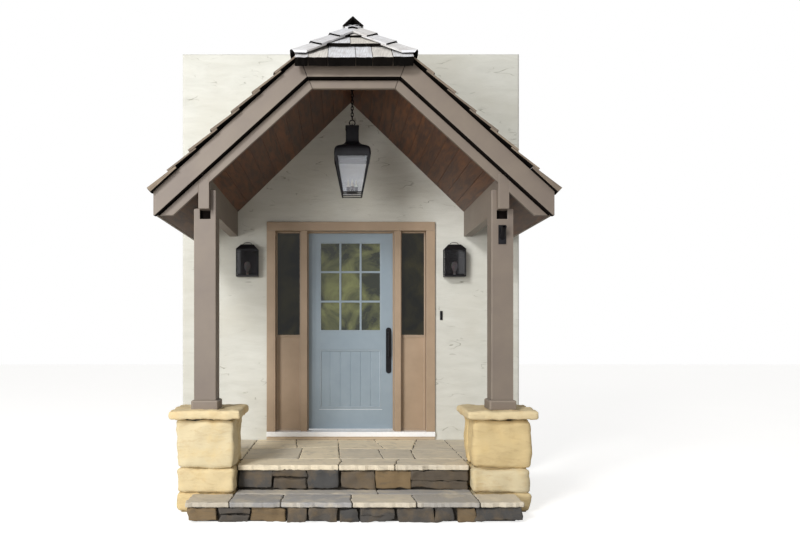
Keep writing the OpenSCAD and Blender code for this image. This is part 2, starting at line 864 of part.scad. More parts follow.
module door_sill() {
    half_w = jamb_in + casing_w;
    color("white") at_wall() union() {
        slab(-half_w, half_w, 0, sill_out, sill_z, sill_top);
        slab(-opening_half_w, opening_half_w, -wall_t, sill_out / 2, sill_z, sill_top);
    }
}
module sub_sill() {
    half_w = jamb_in + casing_w;
    color("tan") at_wall() slab(-half_w, half_w, 0, sub_sill_out, sub_sill_z, sill_z);
}

// Sidelights: a plain panel below and a sealed glass unit above
module sidelight_panels() {
    color("dimgray") at_wall() both_sides()
        slab(mullion_out, jamb_in, -side_set_back - side_panel_t, -side_set_back, sill_top, sill_top + side_panel_h);
}
module sidelight_glass() {
    glass_front = side_set_back + (side_panel_t - glass_t) / 2;
    color("lightblue") at_wall() both_sides()
        slab(mullion_out, jamb_in, -glass_front - glass_t, -glass_front, sill_top + side_panel_h, head_z);
}

// Door leaf, swung about its hinges by door_open
module at_hinge() {
    at_wall() translate([hinge_x, hinge_y, 0]) rotate([0, 0, door_open])
        translate([-hinge_x, -hinge_y, 0]) children();
}
module door_leaf() {
    light_x = leaf_x + stile_w;
    light_w = leaf_w - 2 * stile_w;
    color("slategray") at_hinge() difference() {
        slab(leaf_x, leaf_x + leaf_w, -wall_t, -leaf_front, leaf_z, leaf_z + leaf_h);
        slab(light_x, light_x + light_w, -wall_t - over, over, light_z, light_z + light_h);
        slab(light_x, light_x + light_w, -wall_t - over, over, leaf_z + bottom_rail_h, leaf_z + bottom_rail_h + panel_h);
    }
}
module door_glass() {
    front = leaf_front + (leaf_t - glass_t) / 2;
    color("lightblue") at_hinge()
        slab(leaf_x + stile_w, leaf_x + leaf_w - stile_w, -front - glass_t, -front, light_z, light_z + light_h);
}
module door_panel() {
    panel_w = leaf_w - 2 * stile_w;
    front = leaf_front + (leaf_t - panel_t) / 2;
    z0 = leaf_z + bottom_rail_h;
    color("slategray") at_hinge() difference() {
        slab(leaf_x + stile_w, leaf_x + stile_w + panel_w, -front - panel_t, -front, z0, z0 + panel_h);
        for (i = [1 : board_count - 1], y = [front, front + panel_t])
            translate([leaf_x + stile_w + i * panel_w / board_count, y, z0 - over])
                rotate([0, 0, 45])
                    translate([-groove_w / 2, -groove_w / 2, 0]) cube([groove_w, groove_w, panel_h + 2 * over]);
    }
}

// Handle: a long plate with a pull grip, thumb piece and lock outside, a knob inside
module round_plate(w, h) {
    square([w, h - w], center = true);
    for (side = [-1, 1]) translate([0, side * (h - w) / 2]) circle(d = w, $fn = round_fn);
}
module door_handle() {
    grip_z = handle_z + plate_h / 2 - grip_h - plate_w;
    out = leaf_front - plate_t - grip_out - grip_r;
    color("black") at_hinge() {
        translate([handle_x, leaf_front, handle_z]) rotate([90, 0, 0])
            linear_extrude(plate_t) round_plate(plate_w, plate_h);
        for (z = [grip_z, grip_z + grip_h])
            translate([handle_x, leaf_front - plate_t / 2, z]) rotate([90, 0, 0])
                cylinder(r = grip_r, h = plate_t / 2 + grip_out + grip_r, $fn = round_fn);
        translate([handle_x, out, grip_z]) cylinder(r = grip_r, h = grip_h, $fn = round_fn);
        for (z = [grip_z, grip_z + grip_h]) translate([handle_x, out, z]) sphere(r = grip_r, $fn = round_fn);
        translate([handle_x, leaf_front - plate_t / 2, grip_z + grip_h + lock_lift]) rotate([90, 0, 0])
            cylinder(r = lock_r, h = plate_t / 2 + lock_out, $fn = round_fn);
    }
    color("black") at_hinge() {
        translate([handle_x, wall_t + plate_t, handle_z]) rotate([90, 0, 0])
            linear_extrude(plate_t) round_plate(plate_w, plate_h / 2);
        translate([handle_x, wall_t + plate_t / 2, handle_z]) rotate([-90, 0, 0])
            cylinder(r = knob_stem_r, h = knob_out - knob_r, $fn = round_fn);
        translate([handle_x, wall_t + knob_out - knob_r, handle_z]) sphere(r = knob_r, $fn = round_fn);
    }
}

// Hinges: three on the hinge edge, each with five knuckles on one pin
knuckle_h = hinge_h / 5;
knuckle_gap = 0.4;
function hinge_heights() = [
    leaf_z + hinge_end, leaf_z + (leaf_h - hinge_h) / 2, leaf_z + leaf_h - hinge_end - hinge_h
];
module knuckles(first, side) {
    for (i = [first : 2 : 4]) {
        z = i * knuckle_h + knuckle_gap / 2;
        h = knuckle_h - knuckle_gap;
        translate([0, 0, z]) cylinder(r = knuckle_r, h = h, $fn = round_fn);
        translate([side > 0 ? 0.5 : -0.5 - hinge_leaf_t, -knuckle_r - 0.5, z]) cube([hinge_leaf_t, knuckle_r, h]);
    }
    translate([side > 0 ? 0.5 : -0.5 - hinge_leaf_t, -knuckle_r - hinge_leaf_l, 0])
        cube([hinge_leaf_t, hinge_leaf_l, hinge_h]);
}
module frame_hinge_leaves() {
    color("gray") at_wall() for (z = hinge_heights()) translate([hinge_x, hinge_y, z]) {
        knuckles(0, -1);
        cylinder(r = pin_r, h = hinge_h, $fn = round_fn);
    }
}
module door_hinge_leaves() {
    color("gray") at_hinge() for (z = hinge_heights()) translate([hinge_x, hinge_y, z]) difference() {
        knuckles(1, 1);
        translate([0, 0, -over]) cylinder(r = pin_r + pin_gap, h = 2 * over, $fn = round_fn);
    }
}

// Hanging lantern: canopy, chain, roof, cage, glass and candles.
// Each link hangs on the one above with a seat of seat_gap; an odd number of links
// puts the first and the last across the two rings, and a stem takes up the rest.
shoulder_z = lantern_z + cage_h;
neck_z = shoulder_z + lantern_roof_h;
neck_top = neck_z + neck_h;
ring_mid_r = ring_r - link_d / 2;
lantern_ring_z = neck_top + ring_mid_r - link_d / 2;
link_pitch = link_l - 2 * link_d - seat_gap;
first_link_z = lantern_ring_z + ring_mid_r - link_d - seat_gap + (link_l - link_d) / 2;
link_room = ceiling_apex_z - canopy_h - 2 * ring_r - first_link_z;
link_count = 2 * floor(link_room / link_pitch / 2) + 1;
last_link_z = first_link_z + (link_count - 1) * link_pitch;
canopy_ring_z = last_link_z + (link_l - link_d) / 2 - link_d - seat_gap + ring_mid_r;
stem_z = canopy_ring_z + ring_mid_r - link_d / 2;
module at_lantern(z) {
    at_wall() translate([0, -lantern_reach, z]) children();
}
// A square shape turned from a profile of half widths and heights
module square_turn(profile) {
    rotate([0, 0, 45]) rotate_extrude($fn = 4)
        polygon([for (p = profile) [p[0] * sqrt(2), p[1]]]);
}
module ring(r, wire_r) {
    rotate([90, 0, 0]) rotate_extrude($fn = round_fn) translate([r, 0]) circle(r = wire_r, $fn = 24);
}
module lantern_canopy() {
    color("black") at_wall() intersection() {
        ceiling_void(0);
        translate([0, -lantern_reach, ceiling_apex_z - canopy_h])
            cylinder(r = canopy_r, h = canopy_h, $fn = round_fn);
    }
    color("black") at_lantern(stem_z)
        cylinder(r = canopy_stem_r, h = ceiling_apex_z - canopy_h - stem_z, $fn = 24);
    color("black") at_lantern(canopy_ring_z) ring(ring_mid_r, link_d / 2);
}
module chain_link() {
    mid_r = (link_w - link_d) / 2;
    straight = link_l - link_w;
    for (side = [-1, 1]) {
        translate([side * mid_r, 0, -straight / 2]) cylinder(d = link_d, h = straight, $fn = 24);
        translate([0, 0, side * straight / 2]) rotate([90, 0, 0])
            rotate([0, 0, side > 0 ? 0 : 180]) rotate_extrude(angle = 180, $fn = round_fn)
                translate([mid_r, 0]) circle(d = link_d, $fn = 24);
    }
}
module lantern_chain() {
    color("black") for (i = [0 : link_count - 1])
        at_lantern(first_link_z + i * link_pitch) rotate([0, 0, 90 * ((i + 1) % 2)]) chain_link();
}
function sweep(p0, p1, p2, t) = p0 * pow(1 - t, 2) + p1 * 2 * t * (1 - t) + p2 * pow(t, 2);
module lantern_cap() {
    half_w = lantern_w / 2;
    half_neck = neck_w / 2;
    r = lantern_shoulder_r;
    top = lantern_roof_h + neck_h;
    round_end = 70;
    arc_x = half_w - r;
    arc_z = lantern_band_h - r;
    arc_end = [arc_x + r * cos(round_end), arc_z + r * sin(round_end)];
    color("black") at_lantern(shoulder_z) square_turn([
        [0, 0], [half_w - lantern_band_flare, 0],
        for (a = [0 : 14 : round_end]) [arc_x + r * cos(a), arc_z + r * sin(a)],
        for (t = [0.25 : 0.25 : 1])
            sweep(arc_end, [half_neck, lantern_band_h], [half_neck, lantern_roof_h], t),
        [half_neck, top - neck_lip_h - neck_lip], [half_neck + neck_lip, top - neck_lip_h],
        [half_neck + neck_lip, top - neck_lip_h / 2], [half_neck + neck_lip - neck_slope_w, top], [0, top]
    ]);
    color("black") at_lantern(lantern_ring_z) ring(ring_mid_r, link_d / 2);
}
cage_top_half = lantern_w / 2 - lantern_band_flare - neck_lip;
cage_foot_t = 2;
function cage_half_w(z) = lantern_base_w / 2 + (cage_top_half - lantern_base_w / 2) * z / cage_h;
module cage_corner(inset) {
    for (z = [0, cage_h - cage_foot_t]) {
        half_w = cage_half_w(z) - cage_bar_w / 2 - inset;
        translate([half_w, half_w, z + cage_foot_t / 2]) cube([cage_bar_w, cage_bar_w, cage_foot_t], center = true);
    }
}
module lantern_cage() {
    base_half = lantern_base_w / 2;
    color("black") at_lantern(lantern_z) {
        for (turn = [0 : 90 : 270]) rotate([0, 0, turn]) hull() cage_corner(0);
        square_turn([
            [0, 0], [base_half, 0], [base_half + cage_base_out, cage_base_out],
            [base_half + cage_base_out, cage_base_h], [0, cage_base_h]
        ]);
    }
}
module lantern_glass() {
    inset = cage_bar_w / 2 - lantern_glass_t / 2;
    half0 = cage_half_w(cage_base_h) - inset;
    half1 = cage_half_w(cage_h) - inset;
    lean = (half1 - half0) / (cage_h - cage_base_h);
    color("lightblue") at_lantern(lantern_z) difference() {
        square_turn([
            [0, cage_base_h], [half0, cage_base_h], [half1 - lean * seat_gap, cage_h - seat_gap],
            [0, cage_h - seat_gap]
        ]);
        square_turn([
            [0, 0], [half0 - lantern_glass_t - lean * cage_base_h, 0],
            [half1 - lantern_glass_t + lean * cage_base_h, cage_h + cage_base_h], [0, cage_h + cage_base_h]
        ]);
        for (turn = [0 : 90 : 270]) rotate([0, 0, turn]) hull() cage_corner(0);
    }
}
module lantern_candles() {
    color("ivory") at_lantern(lantern_z + cage_base_h) {
        for (i = [0 : candle_count - 1])
            rotate([0, 0, 45 + i * 360 / candle_count]) translate([candle_ring_r, 0, 0]) {
                cylinder(r = candle_r, h = candle_h, $fn = 24);
                translate([0, 0, candle_h])
                    cylinder(r1 = candle_tip_base_r, r2 = candle_tip_r, h = candle_tip_h, $fn = 24);
            }
    }
}

// Wall lights beside the door: a domed top, back plate and corner bars round a glass box
module sconce_outline(inset) {
    half_w = sconce_w / 2 - inset;
    half_top = sconce_top_w / 2;
    shoulder = sconce_h - sconce_roof_h;
    polygon([
        [-half_w, 0], [half_w, 0],
        for (a = [0 : 15 : 90])
            [half_top + (half_w - half_top) * cos(a), shoulder + (sconce_roof_h - inset) * sin(a)],
        for (a = [90 : -15 : 0])
            [-half_top - (half_w - half_top) * cos(a), shoulder + (sconce_roof_h - inset) * sin(a)]
    ]);
}
module wall_light() {
    shoulder = sconce_h - sconce_roof_h;
    difference() {
        along_reach(0, sconce_d) sconce_outline(0);
        slab(-sconce_w / 2 + sconce_bar_w, sconce_w / 2 - sconce_bar_w, sconce_bar_w, sconce_d + over,
            sconce_bar_w, shoulder - sconce_bar_w);
        slab(-sconce_w, sconce_w, sconce_bar_w, sconce_d - sconce_bar_w, sconce_bar_w, shoulder - sconce_bar_w);
    }
}
module at_sconces() {
    at_wall() for (side = [-1, 1]) translate([side * sconce_x, 0, sconce_z]) children();
}
module wall_lights() {
    color("black") at_sconces() wall_light();
}
module wall_light_glass() {
    half_w = sconce_w / 2 - sconce_bar_w / 2;
    front = sconce_d - sconce_bar_w / 2;
    z0 = sconce_bar_w;
    z1 = sconce_h - sconce_roof_h - sconce_bar_w;
    color("lightblue") at_sconces() difference() {
        slab(-half_w, half_w, sconce_bar_w, front, z0, z1);
        slab(-half_w + lantern_glass_t, half_w - lantern_glass_t, sconce_bar_w - over, front - lantern_glass_t,
            z0 - over, z1 + over);
        wall_light();
    }
}
module wall_light_bulbs() {
    color("ivory") at_sconces() translate([0, -sconce_d / 2, sconce_bar_w]) {
        bulb_z = holder_h + bulb_flare_h;
        cylinder(r = holder_r, h = holder_h, $fn = round_fn);
        translate([0, 0, holder_h]) cylinder(r1 = holder_r, r2 = bulb_r, h = bulb_flare_h, $fn = round_fn);
        translate([0, 0, bulb_z]) cylinder(r = bulb_r, h = bulb_h, $fn = round_fn);
        translate([0, 0, bulb_z + bulb_h]) sphere(r = bulb_r, $fn = round_fn);
    }
}
module bell_push() {
    color("dimgray") at_wall() union() {
        slab(bell_x - bell_w / 2, bell_x + bell_w / 2, 0, bell_plate_t, bell_z - bell_h / 2, bell_z + bell_h / 2);
        translate([bell_x, -bell_plate_t, bell_z]) rotate([90, 0, 0])
            cylinder(r = bell_button_r, h = bell_button_out, $fn = round_fn);
    }
}

// Bracket on the right post with a sloping socket for a pole
module pole_bracket() {
    socket_r = socket_bore_r + socket_wall;
    socket_z = bracket_z + socket_lift;
    post_front = post_reach + post_w / 2;
    bracket_x = beam_in + beam_w / 2;
    color("black") at_wall() difference() {
        union() {
            slab(bracket_x - bracket_w / 2, bracket_x + bracket_w / 2, post_front, post_front + bracket_t,
                bracket_z, bracket_z + bracket_h);
            intersection() {
                translate([bracket_x, -post_front - socket_r, socket_z]) rotate([90 - socket_rise, 0, 0])
                    translate([0, 0, -2 * socket_r]) cylinder(r = socket_r, h = 2 * socket_r + socket_depth, $fn = round_fn);
                slab(bracket_x - over, bracket_x + over, post_front, post_front + over, bracket_z, beam_z);
            }
        }
        translate([bracket_x, -post_front - socket_r, socket_z]) rotate([90 - socket_rise, 0, 0])
            cylinder(r = socket_bore_r, h = socket_depth + over, $fn = round_fn);
    }
}

left_wall();
right_wall();
wall_over_door();
wall_below_door();
landing_base();
landing_slabs();
lower_step_base();
lower_step_slabs();
left_pier();
right_pier();
pier_caps();
post_plinths();
left_post();
right_post();
roof_beams();
left_roof_frame();
right_roof_frame();
hip_frame();
left_ceiling();
right_ceiling();
hip_ceiling();
eave_soffits();
eave_boards();
outer_rakes();
outer_collar_board();
inner_rakes();
inner_collar_board();
left_roof_shakes();
right_roof_shakes();
hip_shakes();
hip_caps();
ridge_cap();
casing_legs();
casing_head();
frame_posts();
frame_head();
door_stops();
door_sill();
sub_sill();
sidelight_panels();
sidelight_glass();
door_leaf();
door_panel();
door_glass();
door_handle();
door_hinge_leaves();
frame_hinge_leaves();
lantern_canopy();
lantern_chain();
lantern_cap();
lantern_cage();
lantern_glass();
lantern_candles();
wall_lights();
wall_light_glass();
wall_light_bulbs();
bell_push();
pole_bracket();
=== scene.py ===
# Entrance porch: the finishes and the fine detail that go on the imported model.
import math
import random

import bmesh
import bpy
from mathutils import Matrix, Vector, noise


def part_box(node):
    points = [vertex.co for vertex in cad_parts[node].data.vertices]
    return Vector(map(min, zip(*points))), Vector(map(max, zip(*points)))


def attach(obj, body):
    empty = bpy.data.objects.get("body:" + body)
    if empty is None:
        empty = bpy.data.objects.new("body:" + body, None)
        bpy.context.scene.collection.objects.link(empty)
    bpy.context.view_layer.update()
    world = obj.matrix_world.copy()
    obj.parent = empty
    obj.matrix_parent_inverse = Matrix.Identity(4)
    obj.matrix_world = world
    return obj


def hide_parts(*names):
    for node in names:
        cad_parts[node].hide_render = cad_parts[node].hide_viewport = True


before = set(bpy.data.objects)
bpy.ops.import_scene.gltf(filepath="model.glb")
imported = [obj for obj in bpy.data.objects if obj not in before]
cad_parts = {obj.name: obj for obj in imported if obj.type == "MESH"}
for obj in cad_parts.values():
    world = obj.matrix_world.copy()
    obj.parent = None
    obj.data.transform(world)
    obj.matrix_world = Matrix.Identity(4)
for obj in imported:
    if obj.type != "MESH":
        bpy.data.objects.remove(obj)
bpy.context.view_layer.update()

print("frame loaded")


# the photograph's camera: level, square to the wall, 7.5 m in front of it
cameraSettings = {
    "place": (-0.112, -6.641, 1.483),
    "lens": 31.5,
    "sensor": 36.0,
    "shiftX": 0.0745,
    "shiftY": 0.0869,
}
photoCamera = bpy.data.objects.new("photoCamera", bpy.data.cameras.new("photoCamera"))
photoCamera.location = cameraSettings["place"]
photoCamera.rotation_euler = (math.radians(90), 0, 0)
photoCamera.data.lens = cameraSettings["lens"]
photoCamera.data.sensor_width = cameraSettings["sensor"]
photoCamera.data.shift_x = cameraSettings["shiftX"]
photoCamera.data.shift_y = cameraSettings["shiftY"]
bpy.context.scene.collection.objects.link(photoCamera)
bpy.context.scene.camera = photoCamera
print("camera placed")


# materials

def linear(hexColour):
    # sRGB hex to linear RGBA
    parts = [int(hexColour[i:i + 2], 16) / 255 for i in (1, 3, 5)]
    return [p / 12.92 if p <= 0.04045 else ((p + 0.055) / 1.055) ** 2.4 for p in parts] + [1.0]


def addNode(tree, kind, inputs=None, **settings):
    node = tree.nodes.new(kind)
    for key, value in settings.items():
        setattr(node, key, value)
    for key, value in (inputs or {}).items():
        if isinstance(value, bpy.types.NodeSocket):
            tree.links.new(value, node.inputs[key])
        else:
            node.inputs[key].default_value = value
    return node


def newMaterial(name, roughness, **constants):
    material = bpy.data.materials.new(name)
    material.use_nodes = True
    tree = material.node_tree
    shader = tree.nodes["Principled BSDF"]
    shader.inputs["Roughness"].default_value = roughness
    for key, value in constants.items():
        shader.inputs[key.replace("_", " ")].default_value = value
    return material, tree, shader


def makeFinish(name, roughness, base, patterns, layers, bumps=(), rough=None, folded=(), lean=0.0,
               **constants):
    # patterns: space, stretch, scale, detail, roughness and distortion of a noise
    # layers: a colour and one or two masks, each a pattern or face value with the range that it fades in over
    # bumps: pattern or layer, strength, depth, and "sunk" where it cuts in
    material, tree, shader = newMaterial(name, roughness, **constants)
    values = {}
    for key, (space, stretch, scale, detail, rise, bend) in patterns.items():
        if space == "grain":
            vector = addNode(tree, "ShaderNodeUVMap", uv_map="grain").outputs["UV"]
        else:
            vector = addNode(tree, "ShaderNodeTexCoord").outputs["Object"]
        if stretch:
            turn = (0, lean if key in folded else 0, 0)
            mapping = addNode(tree, "ShaderNodeMapping",
                              {"Vector": vector, "Scale": stretch, "Rotation": turn})
            vector = mapping.outputs[0]
        pattern = addNode(tree, "ShaderNodeTexNoise", {"Vector": vector, "Scale": scale, "Detail": detail,
                                                       "Roughness": rise, "Distortion": bend})
        values[key] = pattern.outputs[0]
    for key in folded:
        # distance from the noise's middle value, which draws a line where it crosses it
        fromMiddle = addNode(tree, "ShaderNodeMath", {0: values[key], 1: 0.5}, operation="SUBTRACT")
        distance = addNode(tree, "ShaderNodeMath", {0: fromMiddle.outputs[0]}, operation="ABSOLUTE")
        values[key] = distance.outputs[0]
    colour = linear(base)
    for layer, (tone, *masks) in layers.items():
        shares = []
        for key, *limits in masks:
            if key not in values:
                values[key] = addNode(tree, "ShaderNodeAttribute", attribute_name=key).outputs["Fac"]
            share = values[key]
            if limits:
                fade = addNode(tree, "ShaderNodeMapRange", {"Value": share, "From Min": limits[0],
                                                            "From Max": limits[1], "To Max": limits[2]})
                share = fade.outputs[0]
            shares.append(share)
        if len(shares) > 1:
            both = addNode(tree, "ShaderNodeMath", {0: shares[0], 1: shares[1]}, operation="MULTIPLY")
            shares = [both.outputs[0]]
        values[layer] = shares[0]
        mix = addNode(tree, "ShaderNodeMix", {0: shares[0], 6: colour, 7: linear(tone)}, data_type="RGBA")
        colour = mix.outputs[2]
    tree.links.new(colour, shader.inputs["Base Color"])
    if rough:
        gloss = addNode(tree, "ShaderNodeMapRange",
                        {"Value": values[rough[0]], "To Min": rough[1], "To Max": rough[2]})
        tree.links.new(gloss.outputs[0], shader.inputs["Roughness"])
    relief = {}
    for key, strength, depth, *sunk in bumps:
        bump = addNode(tree, "ShaderNodeBump",
                       {"Height": values[key], "Strength": strength, "Distance": depth, **relief},
                       invert=bool(sunk))
        relief = {"Normal": bump.outputs[0]}
    for normal in relief.values():
        tree.links.new(normal, shader.inputs["Normal"])
    return material


def trimPaintFinish(name, colour, light, roughness, edgeTone="#B4A898"):
    # acrylic paint brushed on sawn and planed boards: a satin skin with faint brush lines
    # along the board, a little dust in the hollows and thinner, paler paint on the eased edges
    return makeFinish(name, roughness, colour, {
        # brush bristles leave lines 1 mm apart, drawn 5 mm apart so that they show
        "brush": ("grain", (4, 200, 1), 1.0, 3.0, 0.5, 0.0),
        "cloud": ("object", None, 2.5, 4.0, 0.6, 0.0),
    }, {
        "dustAndPaintedReflection": (light, ("cloud", 0.3, 0.7, 1.0)),
        "worn": (edgeTone, ("wear",), ("cloud",)),
    }, [("brush", 0.18, 0.001)], rough=("brush", roughness - 0.08, roughness + 0.1))


trimPaint = trimPaintFinish("acrylicTrimPaint", "#756960", "#827669", 0.5)
joineryPaint = trimPaintFinish("acrylicJoineryPaint", "#A08A72", "#B0987F", 0.42)
doorEnamel = trimPaintFinish("brushedDoorEnamel", "#8B9AA5", "#97A5AF", 0.36, "#C2CBD0")
# near-white enamel for the door's ledge: painted highlight
ledgePaintedHighlight = trimPaintFinish("ledgeEnamelPaintedHighlight", "#DCE2E6", "#EEF2F4", 0.3, "#FFFFFF")
tanBoardPaint = trimPaintFinish("sillBoardPaint", "#BBA88F", "#C9B79E", 0.55)

# white gloss paint on a timber sill, scuffed and a little dusty where feet pass
whiteSill = makeFinish("whiteSillGloss", 0.3, "#FFFFFF",
                       {"scuffs": ("object", None, 14.0, 6.0, 0.7, 0.0)},
                       {"scuffed": ("#F0ECE4", ("scuffs", 0.52, 0.75, 0.6))},
                       [("scuffs", 0.1, 0.001)], rough=("scuffs", 0.22, 0.5))

# cement render thrown on and pulled flat with a steel trowel: broad level strokes,
# grit of 2 to 3 mm dragged through the surface, paler where the trowel pressed
trowelledStucco = makeFinish("trowelledStucco", 0.92, "#D1D0C6", {
    # one stroke is about 350 mm long and 60 mm high
    "strokes": ("object", (2.8, 2.8, 11), 1.0, 6.0, 0.62, 0.6),
    "grit": ("object", None, 260.0, 3.0, 0.6, 0.0),
    "patches": ("object", None, 1.6, 3.0, 0.5, 0.0),
    # skips of the trowel: creases 100 to 250 mm long and 4 mm wide, level or gently falling
    "contour": ("object", (2.6, 2.6, 10.0), 1.0, 2.0, 0.5, 0.3),
    "breaks": ("object", None, 5.5, 2.0, 0.5, 0.0),
}, {
    "pressed": ("#DDDCD3", ("strokes", 0.32, 0.66, 1.0)),
    "weathered": ("#D1CDBF", ("patches", 0.42, 0.7, 0.5)),
    # the creases are sunk and also painted darker: painted shade in the creases
    "creaseAndPaintedShade": ("#ABA99C", ("contour", 0.009, 0.002, 1.0), ("breaks", 0.55, 0.64, 1.0)),
}, [("creaseAndPaintedShade", 0.6, 0.005, "sunk"), ("strokes", 0.45, 0.01), ("grit", 0.5, 0.002)],
    folded=("contour",), lean=0.1)


def cedarFinish(name, silver, tan, dark, sheen):
    # western red cedar split by hand and left bare: long open fibres, grey where the sun
    # has bleached them, tan where the rain keeps off, dark weather streaks near the butts
    return makeFinish(name, 0.88, silver, {
        # fibres 1 to 2 mm wide are drawn 7 mm wide so that they show from the street
        "fibres": ("grain", (5, 140, 1), 1.0, 5.0, 0.65, 0.0),
        "blotches": ("grain", None, 9.0, 4.0, 0.5, 0.0),
    }, {
        "sheltered": (tan, ("warmth",)),
        "streaked": (dark, ("fibres", 0.62, 0.36, 0.7)),
        "stained": (dark, ("blotches", 0.45, 0.75, 0.45)),
        "aged": (dark, ("shade",)),
    }, [("fibres", 0.8, 0.004)], Specular_IOR_Level=sheen)


splitCedar = cedarFinish("splitCedarShake", "#EFF2F8", "#E9E1D0", "#B0AAA6", 0.4)
# darker copy for the shakes' sides: painted shade in the gaps between them
paintedShadeCedarEdge = cedarFinish("splitCedarEdgePaintedShade", "#8A7C6E", "#9C8C79", "#5E544B", 0.3)
# near-black copy for the butts, undersides and cap ends: painted shade, kept dull with a low sheen
paintedShadeCedarButt = cedarFinish("sawnCedarButtPaintedShade", "#0F0C0A", "#16110E", "#060504", 0.08)

# cedar ceiling boards under a walnut oil stain: near black where it pooled,
# orange brown where the grain let it through, with a low satin sheen
walnutStain = makeFinish("walnutStainedCedar", 0.5, "#3A1D10", {
    # growth rings cut flat show as figures 60 mm wide and 0.5 m long
    "figure": ("grain", (2.2, 15, 1), 1.0, 5.0, 0.6, 1.2),
    "fibres": ("grain", (6, 170, 1), 1.0, 3.0, 0.5, 0.0),
}, {
    "rings": ("#764621", ("figure", 0.38, 0.68, 1.0)),
    "lit": ("#96622F", ("fibres", 0.55, 0.75, 0.5)),
    # this layer is random tone on the ceiling boards, and painted shade on the eave soffit
    "pooledAndPaintedShade": ("#3A1D10", ("shade",)),
}, [("fibres", 0.25, 0.001)], Coat_Weight=0.12, Coat_Roughness=0.35)


def stoneFinish(name, cool, warm, vein, grain, roughness):
    # sandstone and limestone split along the bed: sugary grit, iron stains and
    # bedding lines, each stone a little different from the next
    return makeFinish(name, roughness, cool, {
        "bedding": ("object", (7, 7, 26), 1.0, 6.0, 0.65, 0.8),
        "stains": ("object", None, 5.5, 5.0, 0.6, 0.0),
        # grit of about 1 mm, drawn at 4 mm
        "grit": ("object", None, grain, 4.0, 0.7, 0.0),
    }, {
        "body": (warm, ("warmth",)),
        "bedded": (vein, ("bedding", 0.5, 0.72, 0.55)),
        "stained": (warm, ("stains", 0.48, 0.7, 0.5)),
        "dark": ("#4A443E", ("shade",)),
    }, [("bedding", 0.6, 0.01), ("grit", 0.55, 0.003)])


pierSandstone = stoneFinish("hewnPierSandstone", "#D9CBA8", "#DFC389", "#BFA377", 200.0, 0.92)
buffFieldstone = stoneFinish("splitFieldstone", "#4B4A49", "#8C7450", "#5A544B", 200.0, 0.93)
capSandstone = stoneFinish("pitchedSandstone", "#E0D2AD", "#E0BF86", "#BFA67C", 260.0, 0.9)
# the warm tone is very pale: partly the stone's cream colour, partly painted sunlight for the landing
cleftBluestone = stoneFinish("cleftBluestone", "#A8A6A4", "#F3E4C6", "#B0A797", 180.0, 0.82)


def mortarFinish(name, damp, dry):
    # lime and sand mortar raked back behind the stones, gritty and mostly in shade
    return makeFinish(name, 0.97, damp, {
        "grit": ("object", None, 180.0, 5.0, 0.7, 0.0),
        "patches": ("object", None, 7.0, 3.0, 0.5, 0.0),
    }, {"dried": (dry, ("patches",))}, [("grit", 0.8, 0.003)])


# near-black mortar for the joints; below the piers' cap stones it is also painted shade
rakedMortarAndPaintedShade = mortarFinish("rakedMortarAndPaintedShade", "#26231F", "#4A443C")
buffMortar = mortarFinish("buffLimeMortar", "#8E7C5A", "#B39D74")


def metalFinish(name, dark, light, metallic, roughness, pits, depth):
    # forged or cast, then blackened: low hammer marks and a rub of bare metal on the high spots
    return makeFinish(name, roughness, dark, {
        "marks": ("object", None, pits, 3.0, 0.5, 0.0),
        "cloud": ("object", None, 11.0, 4.0, 0.5, 0.0),
    }, {"rubbed": (light, ("cloud", 0.4, 0.75, 1.0))}, [("marks", 0.35, depth)],
        rough=("marks", roughness - 0.1, roughness + 0.12), Metallic=metallic, Specular_IOR_Level=0.28)


blackenedIron = metalFinish("blackenedIron", "#0B0A0D", "#1B191E", 0.2, 0.42, 90.0, 0.0015)
brushedHingeSteel = metalFinish("brushedHingeSteel", "#A9A7A3", "#C2C0BC", 1.0, 0.34, 300.0, 0.0004)


def glassFinish(name, tint, dustAndReflectionTone, roughness, clear, ripple, mirror=0.5):
    # float or rolled glass with a faint ripple and paler mottled bands; in the door glass the green tint and
    # the bright olive bands are painted reflection of a garden, in the window glass the near-black tint is
    # painted shade of the room behind
    return makeFinish(name, roughness, tint, {
        "wave": ("object", None, ripple, 2.0, 0.5, 0.0),
        "film": ("object", None, 3.0, 5.0, 0.6, 1.0),
    }, {"dustAndPaintedReflection": (dustAndReflectionTone, ("film", 0.4, 0.72, 1.0))}, [("wave", 0.05, 0.002)],
        Transmission_Weight=clear, IOR=1.5, Specular_IOR_Level=mirror)


shadedWindowGlass = glassFinish("shadedWindowGlass", "#11130F", "#3C381F", 0.04, 0.3, 9.0, 0.2)
# painted reflection: a green tint with bright olive bands, standing in for a garden seen in the panes
doorGlassPaintedReflection = glassFinish("doorLightGlassPaintedReflection", "#2C3226", "#8E925C", 0.04, 0.25, 9.0)
# a little milky and pale blue white, with whiter bands: partly painted reflection of a bright sky
seededLampGlass = glassFinish("seededLampGlass", "#EEF2FA", "#FCFCFF", 0.02, 0.88, 30.0, 1.0)
smokedLampGlass = glassFinish("smokedLampGlass", "#94949A", "#A8A8AC", 0.05, 0.95, 40.0)


def candleFinish(name, colour, shadow, roughness):
    # drip wax or opal glass: light passes a little way in and comes back soft
    return makeFinish(name, roughness, shadow, {"runs": ("object", None, 45.0, 3.0, 0.5, 0.0)},
                      {"thick": (colour, ("runs",))}, [("runs", 0.2, 0.002)],
                      Subsurface_Weight=0.25, Subsurface_Scale=0.01)


dripWax = candleFinish("dripWax", "#F0E8D4", "#D8CBB0", 0.5)
opalBulbGlass = candleFinish("opalBulbGlass", "#F6F1E6", "#E8E2D4", 0.15)

# rough sawn sheathing below the shakes, near black as painted shade; the same finish is put in the post
# saddles, on the outer boards' undersides and in the groove below them as painted shade
paintedShadeSheathing = makeFinish("paintedShadeSheathing", 0.95, "#0D0A09",
                               {"saw": ("object", None, 60.0, 4.0, 0.5, 0.0)},
                               {"bare": ("#1B1512", ("saw",))}, [("saw", 0.5, 0.002)], Specular_IOR_Level=0.1)

